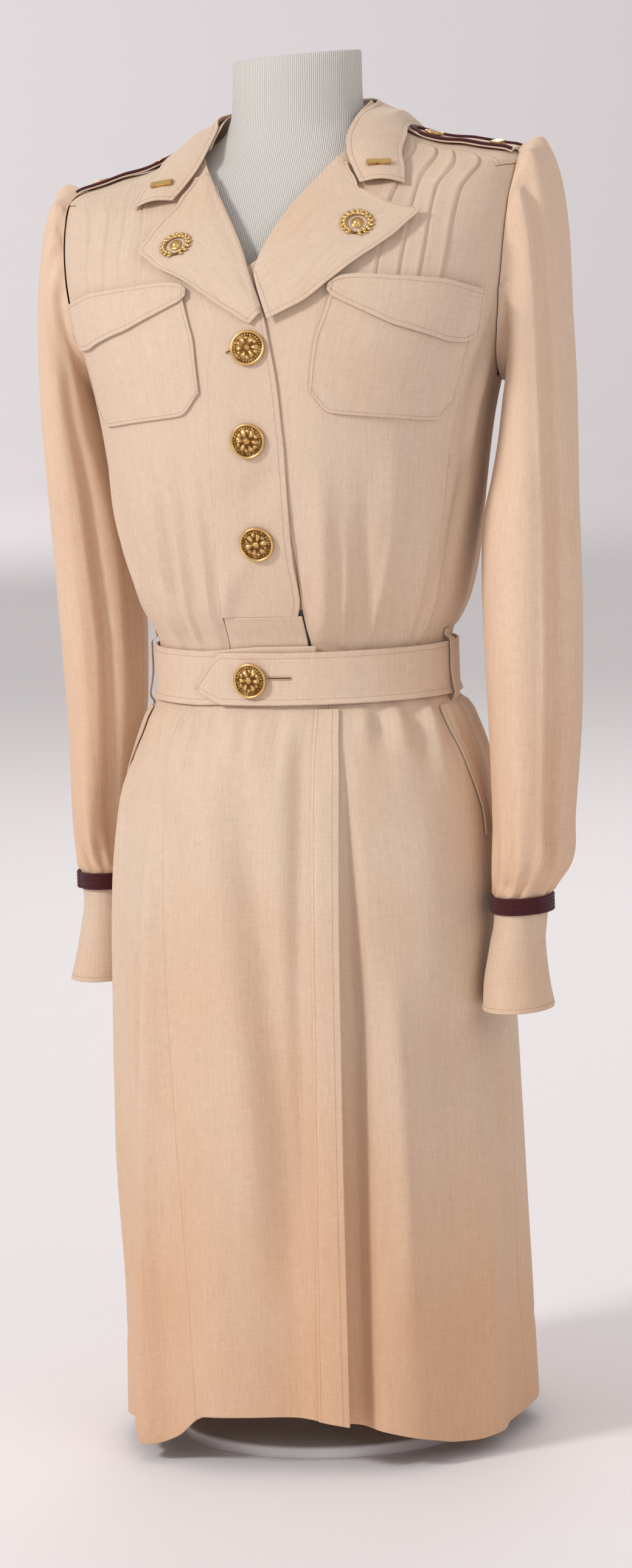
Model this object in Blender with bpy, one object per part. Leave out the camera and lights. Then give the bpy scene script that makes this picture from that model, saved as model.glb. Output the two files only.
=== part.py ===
"""Nurse uniform dress on a limbless dress form. Metres, +Z up, front to -Y, the wearer's left to +X."""
import math

import bpy
import numpy as np

# Main sizes
WALL = 0.0016
TRIM_WALL = 0.0013
SEAM = 0.0003
LAY = 0.0004
WAIST_Z = 0.6085
BELT_LOW, BELT_HIGH = 0.586, 0.629
ARMHOLE_Y, ARMHOLE_Z = 0.031, 0.905
ARMHOLE_DEEP, ARMHOLE_TALL = 0.062, 0.073
SHOULDER_LEAN = 0.065
SHOULDER_SQUARE, SQUARE_FROM, SQUARE_TO = 0.17, 0.105, 0.172
YOKE_ANGLE, YOKE_LOW = 64.0, 0.9735
TUCK_HIGH = 0.0011
BUTTON_R = 0.0136
BELT_WALL = 0.0020
BELT_GAP = 0.0008
BELT_LIFT = 0.0014
FORM_SIDES = 24
WRAP_COLUMNS = 23

# The dress's outer form. Columns: height, half width, front, back, centre, squareness of the section
FORM_ROWS = [
    (0.000, 0.1605, -0.167, 0.160, 0.000, 2.4),
    (0.150, 0.158, -0.158, 0.154, 0.000, 2.35),
    (0.300, 0.156, -0.148, 0.148, 0.000, 2.25),
    (0.430, 0.153, -0.138, 0.142, 0.000, 2.15),
    (0.520, 0.143, -0.124, 0.132, 0.000, 2.1),
    (0.570, 0.128, -0.108, 0.112, 0.000, 2.05),
    (0.595, 0.116, -0.096, 0.094, 0.000, 2.0),
    (0.627, 0.116, -0.096, 0.094, 0.000, 2.0),
    (0.663, 0.130, -0.114, 0.102, 0.000, 2.1),
    (0.730, 0.1437, -0.131, 0.108, 0.002, 2.2),
    (0.800, 0.153, -0.139, 0.116, 0.005, 2.3),
    (0.845, 0.163, -0.139, 0.122, 0.010, 2.35),
    (0.890, 0.177, -0.130, 0.130, 0.018, 2.4),
    (0.930, 0.186, -0.110, 0.135, 0.026, 2.4),
    (0.955, 0.189, -0.092, 0.133, 0.030, 2.3),
    (0.975, 0.186, -0.074, 0.126, 0.032, 2.2),
    (0.990, 0.155, -0.060, 0.114, 0.034, 2.1),
    (1.005, 0.120, -0.048, 0.100, 0.034, 2.05),
    (1.018, 0.088, -0.038, 0.088, 0.033, 2.0),
    (1.032, 0.060, -0.028, 0.076, 0.031, 2.0),
]

# The padded torso: how far it keeps inside the dress at each height
TORSO_CLEAR = [
    (0.470, 0.0120), (0.530, 0.0120), (0.565, 0.0100), (0.590, 0.0068), (0.612, 0.0060), (0.632, 0.0072),
    (0.662, 0.0095), (0.720, 0.0095), (0.800, 0.0085), (0.850, 0.0080), (0.895, 0.0080), (0.930, 0.0066),
    (0.956, 0.0052), (0.972, 0.0042), (0.982, 0.0034), (0.993, 0.0027), (1.005, 0.0027), (1.016, 0.0040),
]
NECK_ROWS = [
    (1.030, 0.0560, 0.0450, 0.0275),
    (1.045, 0.0520, 0.0430, 0.0290),
    (1.082, 0.0510, 0.0430, 0.0330),
]

# Cut lines of a front. Columns: name, x at the waist, the pocket and the yoke, share of the tuck's height
FRONT_CUTS = [
    ("chest", 0.0450, 0.0360, 0.0180, 0.0),
    ("lapel", 0.0540, 0.0560, 0.0380, 0.0),
    ("neck", 0.0620, 0.0740, 0.0640, 0.0),
    ("tuck 1 rise", 0.0680, 0.0880, 0.0930, 0.0),
    ("tuck 1 fold", 0.0710, 0.0935, 0.1000, 1.0),
    ("tuck 1 drop", 0.0720, 0.0950, 0.1015, 0.0),
    ("tuck 2 rise", 0.0770, 0.1045, 0.1120, 0.0),
    ("tuck 2 fold", 0.0795, 0.1095, 0.1185, 1.0),
    ("tuck 2 drop", 0.0805, 0.1110, 0.1200, 0.0),
    ("tuck 3 rise", 0.0850, 0.1190, 0.1270, 0.0),
    ("tuck 3 fold", 0.0875, 0.1240, 0.1325, 1.0),
    ("tuck 3 drop", 0.0885, 0.1255, 0.1340, 0.0),
    ("tuck 4 rise", 0.0920, 0.1340, 0.1440, 0.0),
    ("tuck 4 fold", 0.0945, 0.1390, 0.1505, 1.0),
    ("tuck 4 drop", 0.0955, 0.1405, 0.1520, 0.0),
    ("arm", 0.0995, 0.1520, 0.1570, 0.0),
]
# Lines from the waist to the armhole. Columns: angle at the waist, turn of its end, distance beside the hole
FRONT_ARMHOLE_LINES = [
    (63.0, 22.0, 0.0040), (65.0, 44.0, 0.0024), (67.0, 66.0, 0.0010),
    (70.0, 90.0, 0.0), (75.0, 118.0, 0.0), (81.0, 150.0, 0.0),
]
BACK_ARMHOLE_LINES = [
    (97.0, 210.0, 0.0), (104.0, 242.0, 0.0), (111.0, 270.0, 0.0),
    (117.0, 300.0, 0.0012), (122.0, 322.0, 0.0026), (127.0, 338.0, 0.0042),
]
# The left front's visible fold above the belt. Columns: height, x
FOLD_X = [
    (0.609, 0.0330), (0.640, 0.0326), (0.660, 0.0326),
    (0.676, 0.0324), (0.700, 0.0306), (0.712, 0.0300),
]
# Each lapel from the bottom up. Columns: roll line's x and height, outer edge's x and height, edge's lift
LAPEL_LEFT = [
    (0.0022, 0.9170, 0.0168, 0.8850, 0.0010),
    (0.0036, 0.9270, 0.0440, 0.8965, 0.0034),
    (0.0070, 0.9370, 0.0800, 0.9225, 0.0036),
    (0.0140, 0.9520, 0.1050, 0.9380, 0.0036),
    (0.0240, 0.9680, 0.1218, 0.9525, 0.0034),
    (0.0340, 0.9800, 0.0960, 0.9620, 0.0024),
    (0.0430, 0.9920, 0.0730, 0.9750, 0.0018),
    (0.0500, 1.0000, 0.0600, 0.9940, 0.0016),
]
LAPEL_RIGHT = [
    (0.0125, 0.8900, 0.0030, 0.8815, 0.0010),
    (0.0070, 0.9030, -0.0220, 0.8960, 0.0016),
    (-0.0010, 0.9190, -0.0510, 0.9140, 0.0024),
    (-0.0090, 0.9370, -0.0760, 0.9260, 0.0030),
    (-0.0190, 0.9540, -0.0930, 0.9390, 0.0034),
    (-0.0300, 0.9700, -0.0840, 0.9560, 0.0024),
    (-0.0410, 0.9860, -0.0690, 0.9730, 0.0018),
    (-0.0490, 0.9980, -0.0590, 0.9930, 0.0016),
]
# Collar leaf. Columns: inner edge's x, y and height (gorge, then roll), outer edge's angle and height
COLLAR_ROWS = [
    (0.0745, None, 0.9775, 33.0, 0.9740),
    (0.0665, None, 0.9885, 37.0, 0.9850),
    (0.0590, None, 1.0010, 44.0, 0.9970),
    (0.0560, -0.0300, 1.0170, 58.0, 1.0080),
    (0.0570, 0.0000, 1.0320, 74.0, 1.0150),
    (0.0585, 0.0300, 1.0410, 90.0, 1.0170),
    (0.0540, 0.0560, 1.0440, 110.0, 1.0130),
    (0.0400, 0.0760, 1.0450, 135.0, 1.0020),
    (0.0210, 0.0850, 1.0460, 158.0, 0.9900),
    (0.0000, 0.0880, 1.0460, 180.0, 0.9860),
]

# Sleeves from shoulder to braid. Columns: outer point's x and height, inner point's, half depth, its centre
SLEEVE_LEFT = [
    (0.1940, 0.9880, 0.1700, 0.8250, 0.0640, 0.031), (0.2040, 0.9700, 0.1670, 0.8100, 0.0650, 0.029),
    (0.2110, 0.9380, 0.1630, 0.7920, 0.0640, 0.025), (0.2145, 0.8880, 0.1600, 0.7720, 0.0610, 0.018),
    (0.2190, 0.8240, 0.1560, 0.7500, 0.0570, 0.008), (0.2220, 0.7450, 0.1510, 0.7150, 0.0530, -0.006),
    (0.2240, 0.6560, 0.1510, 0.6500, 0.0510, -0.013), (0.2220, 0.5700, 0.1540, 0.5700, 0.0490, -0.018),
    (0.2170, 0.4960, 0.1570, 0.4960, 0.0450, -0.027), (0.2160, 0.4620, 0.1575, 0.4620, 0.0410, -0.034),
    (0.2040, 0.4420, 0.1580, 0.4420, 0.0330, -0.038), (0.1972, 0.4335, 0.1592, 0.4335, 0.0285, -0.040),
]
SLEEVE_RIGHT = [
    (0.1940, 0.9860, 0.1700, 0.8250, 0.0640, 0.031), (0.2040, 0.9660, 0.1670, 0.8100, 0.0640, 0.031),
    (0.2110, 0.9320, 0.1630, 0.7920, 0.0620, 0.031), (0.2150, 0.8850, 0.1600, 0.7720, 0.0600, 0.031),
    (0.2165, 0.8220, 0.1560, 0.7500, 0.0570, 0.032), (0.2145, 0.7450, 0.1510, 0.7150, 0.0540, 0.034),
    (0.2100, 0.6560, 0.1470, 0.6500, 0.0520, 0.036), (0.2055, 0.5700, 0.1490, 0.5700, 0.0490, 0.034),
    (0.2030, 0.5000, 0.1580, 0.5000, 0.0450, 0.030), (0.2010, 0.4720, 0.1585, 0.4720, 0.0400, 0.027),
    (0.1980, 0.4530, 0.1585, 0.4530, 0.0330, 0.023), (0.1955, 0.4435, 0.1575, 0.4435, 0.0285, 0.020),
]
# The sleeve's long pressed-in fold. Columns: row of the sleeve's table, turn (0 the outer side, 90 the front)
SLEEVE_FOLD_LEFT = [(0, 48.0), (4, 49.0), (9, 48.0), (11, 43.0)]
SLEEVE_FOLD_RIGHT = [(0, 80.0), (4, 110.0), (7, 119.0), (9, 125.0), (11, 125.0)]
# Cuffs from the braid down. Columns: height, half width, half depth, x and y of the centre
CUFF_LEFT = [
    (0.4331, 0.0175, 0.0270, 0.1782, -0.040),
    (0.4120, 0.0168, 0.0262, 0.1765, -0.043),
    (0.3980, 0.0176, 0.0270, 0.1752, -0.047),
    (0.3720, 0.0212, 0.0305, 0.1752, -0.054), (0.3490, 0.0240, 0.0345, 0.1775, -0.060),
]
CUFF_RIGHT = [
    (0.4431, 0.0175, 0.0270, 0.1765, 0.020),
    (0.4220, 0.0168, 0.0262, 0.1760, 0.019),
    (0.4080, 0.0174, 0.0265, 0.1765, 0.018),
    (0.3820, 0.0200, 0.0295, 0.1785, 0.016), (0.3580, 0.0224, 0.0330, 0.1815, 0.014),
]

# Skirt folds. Columns: angle at the hem, half width in degrees, height outward, height where it starts
SKIRT_FOLDS = [
    (-172, 9, 0.0050, 0.50), (-156, 8, -0.0080, 0.48), (-138, 10, 0.0060, 0.50), (-118, 9, -0.0080, 0.46),
    (-98, 8, 0.0020, 0.40), (-79, 7, -0.0040, 0.44), (-62, 8, -0.0110, 0.46), (-41, 7, 0.0065, 0.52),
    (-29, 5, -0.0040, 0.50), (-14, 8, 0.0050, 0.54), (4, 7, -0.0100, 0.52), (38, 8, 0.0060, 0.54),
    (55, 7, -0.0060, 0.46), (70, 7, 0.0030, 0.44), (84, 6, -0.0050, 0.42), (103, 8, 0.0030, 0.42),
    (121, 9, -0.0090, 0.48), (141, 9, 0.0060, 0.50), (160, 8, -0.0070, 0.46),
]
# The hem. Columns: angle, height
HEM_ROWS = [
    (-180, 0.030), (-130, 0.026), (-85, 0.020), (-60, 0.018),
    (-42, 0.013), (-34, 0.015), (-26, 0.026), (-16, 0.042),
    (0, 0.043), (20, 0.036), (42, 0.022), (60, 0.013), (85, 0.016), (120, 0.022), (150, 0.028), (180, 0.030),
]
# Columns: height, then x of the right gore seam, the strip's seam, the strip's free edge and the recess's end
SEAM_ROWS = [
    (0.000, -0.0620, 0.0350, 0.0590, 0.0790),
    (0.126, -0.0700, 0.0350, 0.0580, 0.0785),
    (0.241, -0.0800, 0.0355, 0.0570, 0.0780),
    (0.329, -0.0850, 0.0358, 0.0565, 0.0775),
    (0.425, -0.0880, 0.0355, 0.0560, 0.0730),
    (0.522, -0.0870, 0.0345, 0.0550, 0.0650),
    (0.609, -0.0700, 0.0330, 0.0480, 0.0560),
]


# Curves and the dress's own surface

def smooth_column(places, values):
    """A monotone cubic through the rows of a table, as a function."""
    x, y = np.array(places, float), np.array(values, float)
    step, slope = np.diff(x), np.diff(y) / np.diff(x)
    tangent = np.zeros(len(x))
    for i in range(1, len(x) - 1):
        if slope[i - 1] * slope[i] > 0:
            first, second = 2 * step[i] + step[i - 1], step[i] + 2 * step[i - 1]
            tangent[i] = (first + second) / (first / slope[i - 1] + second / slope[i])
    tangent[0], tangent[-1] = slope[0], slope[-1]
    dense_x, dense_y = [], []
    for i in range(len(step)):
        t = np.linspace(0, 1, 25)
        dense_x.append(x[i] + t * step[i])
        dense_y.append((2 * t**3 - 3 * t**2 + 1) * y[i] + (t**3 - 2 * t**2 + t) * step[i] * tangent[i]
                       + (3 * t**2 - 2 * t**3) * y[i + 1] + (t**3 - t**2) * step[i] * tangent[i + 1])
    dense_x, dense_y = np.concatenate(dense_x), np.concatenate(dense_y)
    return lambda place: np.interp(place, dense_x, dense_y)


def column_of(rows, index):
    return smooth_column([row[0] for row in rows], [row[index] for row in rows])


half_width, front, back, centre, square = (column_of(FORM_ROWS, i) for i in range(1, 6))


def ramp(value, low, high):
    """0 below low, 1 above high, smooth between."""
    t = np.clip((value - low) / (high - low), 0.0, 1.0)
    return t * t * (3 - 2 * t)


def surface(angle, z, out=0.0):
    """The dress's outer surface at an angle (0 front, 90 the wearer's left), moved out by a distance."""
    angle, z, out = np.broadcast_arrays(np.radians(np.asarray(angle, float)), np.asarray(z, float), out)
    sine, cosine = np.sin(angle), np.cos(angle)
    power = 2 / square(z)
    depth = np.where(cosine > 0, centre(z) - front(z), back(z) - centre(z))
    x = half_width(z) * np.sign(sine) * np.abs(sine) ** power
    y = centre(z) - np.sign(cosine) * np.abs(cosine) ** power * depth
    point = np.stack([x, y, z], -1)
    return point + normal_at(point) * out[..., None]


def level(point):
    """Below 0 inside the dress's surface and above 0 outside it."""
    x, y, z = point[..., 0], point[..., 1], point[..., 2]
    power, middle = square(z), centre(z)
    depth = np.where(y < middle, middle - front(z), back(z) - middle)
    return ((np.abs(x) / half_width(z)) ** power + (np.abs(y - middle) / depth) ** power) ** (1 / power)


def normal_at(point):
    """The outward normal, by small differences."""
    slope = np.stack([(level(point + step) - level(point - step)) for step in np.eye(3) * 0.0008], -1)
    return slope / np.linalg.norm(slope, axis=-1, keepdims=True)


def angle_at(x, z):
    """The angle on the front half that gives this x."""
    share = np.clip(np.abs(x) / half_width(z), 0, 1) ** (square(z) / 2)
    return np.degrees(np.arcsin(share)) * np.sign(x)


def front_point(x, z, out=0.0):
    return surface(angle_at(x, z), z, out)


def side_angle(y, z):
    """The angle on the wearer's left side that gives this y."""
    depth = np.where(y < centre(z), centre(z) - front(z), back(z) - centre(z))
    share = np.clip(np.abs(y - centre(z)) / depth, 0, 1) ** (square(z) / 2)
    return np.where(y < centre(z), np.degrees(np.arccos(share)), 180 - np.degrees(np.arccos(share)))


def leaned(points):
    """The shoulders are square, and the wearer's left one stands a little higher than the right one."""
    points = np.array(points, float)
    x, z = points[..., 0], points[..., 2].copy()
    points[..., 2] += SHOULDER_LEAN * x * ramp(z, 0.87, 0.99)
    out = np.minimum(np.abs(x), SQUARE_TO) - SQUARE_FROM
    points[..., 2] += SHOULDER_SQUARE * out * ramp(out, 0.0, 0.035) * ramp(z, 0.90, 0.985)
    return points


# Solids from grids

def add_solid(name, points, faces, material, smooth=True):
    points, faces = leaned(points), [tuple(int(i) for i in face) for face in faces]
    volume = 0.0
    for face in faces:
        for i in range(1, len(face) - 1):
            volume += np.dot(points[face[0]], np.cross(points[face[i]], points[face[i + 1]]))
    if volume < 0:
        faces = [face[::-1] for face in faces]
    mesh = bpy.data.meshes.new(name)
    mesh.from_pydata([tuple(point) for point in points], [], faces)
    mesh.materials.append(MATERIALS[material])
    mesh.shade_smooth() if smooth else mesh.shade_flat()
    thing = bpy.data.objects.new(name, mesh)
    PARTS.objects.link(thing)
    return thing


def sheet(name, outer, inner, material, around=False):
    """A wall between two grids of points (rows by columns); around joins the last column to the first."""
    rows, columns = outer.shape[:2]
    count = rows * columns
    spans = columns if around else columns - 1
    faces = []
    for i in range(rows - 1):
        for j in range(spans):
            k = (j + 1) % columns
            a, b, c, d = i * columns + j, i * columns + k, (i + 1) * columns + k, (i + 1) * columns + j
            faces.append((a, b, c, d))
            faces.append((count + d, count + c, count + b, count + a))
    for j in range(spans):
        k = (j + 1) % columns
        faces.append((k, j, count + j, count + k))
        low = (rows - 1) * columns
        faces.append((low + j, low + k, count + low + k, count + low + j))
    if not around:
        for i in range(rows - 1):
            a, b = i * columns, (i + 1) * columns
            faces.append((a, b, count + b, count + a))
            a, b = a + columns - 1, b + columns - 1
            faces.append((b, a, count + a, count + b))
    return add_solid(name, np.concatenate([outer.reshape(-1, 3), inner.reshape(-1, 3)]), faces, material)


def on_dress(name, angles, heights, low, thick, material="cloth", around=False):
    """A piece on the dress's surface: its underside at the height low above it."""
    low = np.broadcast_to(low, np.shape(angles))
    return sheet(name, surface(angles, heights, low + thick), surface(angles, heights, low), material, around)


def turned(name, profile, place, direction, material, sides=16, stretch=1.0):
    """A small round piece: profile of radius and height about a direction."""
    direction = np.array(direction, float) / np.linalg.norm(direction)
    across = np.cross([0, 0, 1.0], direction)
    across /= np.linalg.norm(across)
    up = np.cross(direction, across)
    turn = np.radians(np.arange(sides) * 360 / sides)
    points, faces = [], []
    for radius, height in profile:
        ring = across * (radius * np.cos(turn) * stretch)[:, None] + up * (radius * np.sin(turn))[:, None]
        points.extend(place + ring + direction * height)
    rings = len(profile)
    for i in range(rings - 1):
        for j in range(sides):
            k = (j + 1) % sides
            faces.append((i * sides + j, i * sides + k, (i + 1) * sides + k, (i + 1) * sides + j))
    faces.append(tuple(range(sides))[::-1])
    faces.append(tuple((rings - 1) * sides + j for j in range(sides)))
    return add_solid(name, np.array(points), faces, material)


def box_on(name, place, direction, along, size, material):
    """A small bar on the cloth: size is its length, width and height."""
    direction = np.array(direction, float) / np.linalg.norm(direction)
    along = np.array(along, float) - direction * np.dot(along, direction)
    along /= np.linalg.norm(along)
    side = np.cross(direction, along)
    length, width, height = size
    corners = [(-1, -1), (1, -1), (1, 1), (-1, 1)]
    points = [place + along * a * length / 2 + side * b * width / 2 for a, b in corners]
    top = place + direction * height
    points += [top + along * a * length * 0.46 + side * b * width * 0.40 for a, b in corners]
    faces = [(3, 2, 1, 0), (4, 5, 6, 7), (0, 1, 5, 4), (1, 2, 6, 5), (2, 3, 7, 6), (3, 0, 4, 7)]
    return add_solid(name, np.array(points), faces, material, smooth=False)


def normals_of(grid):
    """Normals of a grid of points, from its neighbours."""
    along, across = np.gradient(grid, axis=0), np.gradient(grid, axis=1)
    normal = np.cross(along, across)
    return normal / np.linalg.norm(normal, axis=-1, keepdims=True)


# Scene and materials

def clear_scene():
    for thing in list(bpy.data.objects):
        bpy.data.objects.remove(thing, do_unlink=True)


def make_material(name, colour, roughness, metallic=0.0):
    material = bpy.data.materials.new(name)
    material.use_nodes = True
    shader = material.node_tree.nodes["Principled BSDF"]
    shader.inputs["Base Color"].default_value = (*colour, 1.0)
    shader.inputs["Roughness"].default_value = roughness
    shader.inputs["Metallic"].default_value = metallic
    return material


clear_scene()
PARTS = bpy.data.collections.new("nurse_uniform_dress")
bpy.context.scene.collection.children.link(PARTS)
MATERIALS = {
    "cloth": make_material("beige_crepe", (0.70, 0.48, 0.34), 0.85),
    "braid": make_material("maroon_braid", (0.055, 0.008, 0.012), 0.8),
    "gilt": make_material("gilt_metal", (0.55, 0.32, 0.09), 0.32, 1.0),
    "knit": make_material("form_knit", (0.62, 0.60, 0.57), 0.9),
    "stand": make_material("stand_metal", (0.80, 0.78, 0.76), 0.45),
}


# Dress form: torso with its neck, pole and base

def build_form():
    turn = np.arange(FORM_SIDES) * 360 / FORM_SIDES
    rings = []
    for z, clear in TORSO_CLEAR:
        front_share = np.sqrt(np.abs(np.cos(np.radians(turn)))) * ramp(z, 0.86, 0.93)
        rings.append(surface(turn, np.full(FORM_SIDES, z), -clear - 0.0075 * front_share))
    for z, wide, deep, middle in NECK_ROWS:
        angle = np.radians(turn)
        ring = [wide * np.sin(angle), middle - deep * np.cos(angle), np.full(FORM_SIDES, z)]
        rings.append(np.stack(ring, -1))
    lowest = rings[0].copy()
    lowest[:, :2] *= 0.80
    lowest[:, 2] = lowest[:, 2].mean() - 0.018
    rings.insert(0, lowest)
    points, faces = np.concatenate(rings), []
    for i in range(len(rings) - 1):
        for j in range(FORM_SIDES):
            a, b = i * FORM_SIDES, (j + 1) % FORM_SIDES
            faces.append((a + j, a + b, a + FORM_SIDES + b, a + FORM_SIDES + j))
    faces.append(tuple(range(FORM_SIDES))[::-1])
    faces.append(tuple((len(rings) - 1) * FORM_SIDES + j for j in range(FORM_SIDES)))
    add_solid("form_torso", points, faces, "knit")
    pole_top = lowest[:, 2].min() - SEAM
    turned("form_pole", [(0.0125, 0.0105), (0.0125, pole_top)], np.zeros(3), (0, 0.0001, 1), "stand", 12)
    turned("form_base", [(0.120, 0.0), (0.120, 0.0095)], np.zeros(3), (0, 0.0000001, 1), "stand", 32)


# Bodice

def armhole(turn, grow=1.0):
    """Depth and height on the armhole's edge: 0 is the top, 90 the front and 180 the bottom."""
    turn = np.radians(turn)
    return ARMHOLE_Y - ARMHOLE_DEEP * grow * np.sin(turn), ARMHOLE_Z + ARMHOLE_TALL * grow * np.cos(turn)


def armhole_line(low, stop, rows, clear):
    """A cut line from an angle at the waist to the armhole's edge at a turn, clear of the hole on the way."""
    way = 1 if stop < 180 else -1
    y_top, z_top = armhole(stop)
    z = bodice_rows(WAIST_Z + SEAM, float(z_top), rows)
    reach = np.sqrt(np.clip(1 - ((z - ARMHOLE_Z) / ARMHOLE_TALL) ** 2, 0, 1))
    left = np.clip((z_top - z) / max(float(z_top) - ARMHOLE_Z, 0.001), 0, 1)
    beside = side_angle(ARMHOLE_Y - way * (ARMHOLE_DEEP * reach + clear * left), z)
    if z_top < ARMHOLE_Z:
        return np.interp(z, [WAIST_Z, z_top], [low, float(side_angle(y_top, z_top))]), z
    middle = float(side_angle(ARMHOLE_Y - way * (ARMHOLE_DEEP + clear), ARMHOLE_Z))
    rising = np.interp(z, [WAIST_Z, ARMHOLE_Z], [low, middle])
    return np.where(z > ARMHOLE_Z, beside, rising), z


def neck_height(angle):
    """Where the bodice ends at the neck."""
    heights = [1.001, 1.015, 1.0205, 1.0215, 1.0205, 1.0165, 1.015]
    return np.interp(np.abs(angle), [24, 45, 64, 90, 116, 150, 180], heights)


def bodice_rows(low, high, rows):
    """Heights of one cut line: the second row stands just above the belt."""
    first = low + 0.022 if low < 0.61 else low + 0.012
    return np.concatenate([[low], first + (high - first) * np.linspace(0, 1, rows - 1) ** 0.78])


def build_front(name, side, lapel, rows=14):
    """One front: its cut lines run from the waist up to the roll line, neck, yoke seam or armhole."""
    over = side < 0
    roll_x = [side * row[0] for row in lapel]
    roll_z = [row[1] for row in lapel]
    cuts = []
    # Centre edge, up to the foot of the lapel: the right front lies over the left one
    if over:
        edge_z = [0.657, 0.6630, 0.677, 0.714, 0.786, 0.832, 0.850, 0.8860, 0.9020]
        edge_x = [-0.0255, -0.0296, -0.0276, -0.0268, -0.0272, -0.0240, -0.0218, -0.0135, -0.0070]
    else:
        edge_z = [0.6605, 0.7000, 0.7500, 0.8500, 0.9210]
        edge_x = [0.0040, -0.0080, -0.0160, -0.0170, -0.0100]
    z = bodice_rows(edge_z[0], edge_z[-1], rows)
    cuts.append((np.interp(z, edge_z, edge_x), z, 0.0))
    if over:
        z = bodice_rows(0.6573, 0.912, rows)
        cuts.append((np.interp(z, [0.657, 0.70, 0.85, 0.912], [-0.004, -0.006, -0.004, -0.0035]), z, 0.0))
        z = bodice_rows(0.6573, 0.926, rows)
        cuts.append((np.interp(z, [0.657, 0.85, 0.926], [0.016, 0.014, 0.005]), z, 0.0))
        for x_low, z_low in ((0.0345, 0.6573), (0.0347, 0.6450), (0.0349, 0.6330), (0.0351, 0.6215)):
            z = bodice_rows(z_low, 0.945, rows)
            line = np.interp(z, [z_low, 0.85, 0.945], [x_low, x_low - 0.0045, x_low - 0.0205])
            cuts.append((line, z, 0.0))
        z = bodice_rows(WAIST_Z + SEAM, 0.951, rows)
        cuts.append((np.interp(z, [0.609, 0.70, 0.85, 0.951], [0.0355, 0.034, 0.033, 0.0178]), z, 0.0))
    else:
        # Its underlap lies deep under the right front, and the fold beside it shows above the belt
        steps = [(0.0030, 0.6603), (0.0022, 0.6480), (0.0015, 0.6370), (0.0009, 0.6270), (0.0004, 0.6180)]
        for inward, low in steps + [(0.0, WAIST_Z + SEAM)]:
            high = 0.9470 - inward * 4.3
            z = bodice_rows(low, high, rows)
            fold_z = [place for place, _ in FOLD_X] + [0.760, 0.850, high]
            fold_x = [x for _, x in FOLD_X] + [0.0240, 0.0150, 0.0115]
            cuts.append((np.interp(z, fold_z, fold_x) - inward * (1 + ramp(z, 0.85, high)), z, 0.0))
    for label, low, mid, high, tuck in FRONT_CUTS:
        if label in ("chest", "lapel"):
            top_z = float(np.interp(high, sorted(roll_x[2:]), roll_z[2:]))
        elif label == "neck":
            top_z = 1.0120
        else:
            # The yoke seam keeps one angle, so its height follows from x
            heights = np.linspace(0.970, 1.0215, 200)
            seam_x = surface(YOKE_ANGLE, heights)[:, 0]
            top_z = float(np.interp(high, seam_x[::-1], heights[::-1]))
        z = bodice_rows(WAIST_Z + SEAM, top_z, rows)
        stops = [0.600, 0.700, 0.900, max(top_z, 0.91)]
        x = smooth_column(stops, [low, low + (mid - low) * 0.52, mid, high])(z)
        cuts.append((x, z, tuck))
    angles = [angle_at(side * x, z) for x, z, tuck in cuts]
    heights = [z for x, z, tuck in cuts]
    lifts = [TUCK_HIGH * tuck * ramp(z, 0.885, 0.915) for x, z, tuck in cuts]
    # To the yoke's lower corner, then lines that end round the armhole, then the side seam
    z = bodice_rows(WAIST_Z + SEAM, YOKE_LOW - 3 * SEAM, rows)
    path = np.interp(z, [0.609, 0.86, 0.905, 0.945, YOKE_LOW], [61.5, 66.5, 70.6, 68.5, YOKE_ANGLE])
    lines = [(path, z)]
    for low, stop, clear in FRONT_ARMHOLE_LINES:
        lines.append(armhole_line(low, stop, rows, clear))
    for path, z in lines:
        angles.append(side * path)
        heights.append(z)
        lifts.append(np.zeros(rows))
    z = bodice_rows(WAIST_Z + SEAM, ARMHOLE_Z - ARMHOLE_TALL, rows)
    angles.append(side * np.full(rows, 89.85))
    heights.append(z)
    lifts.append(np.zeros(rows))
    angles, heights, lifts = (np.stack(values, 1) for values in (angles, heights, lifts))
    if not over:
        # The left front's edge goes under the right one, deeper and from a sharper fold near the waist
        x = surface(angles, heights)[..., 0]
        up = ramp(heights, 0.692, 0.722)
        fold = np.interp(heights, [z for z, _ in FOLD_X], [x for _, x in FOLD_X])
        begin, end = fold * (1 - up) + 0.042 * up, (fold - 0.0024) * (1 - up) + 0.030 * up
        sunk = np.clip((begin - x) / (begin - end), 0, 1) * (heights > 0.6600)
        lifts = lifts - (0.0046 * (1 - up) + (WALL + LAY + 0.0010) * up) * sunk
    return on_dress(name, angles, heights, lifts - WALL, WALL)


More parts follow.
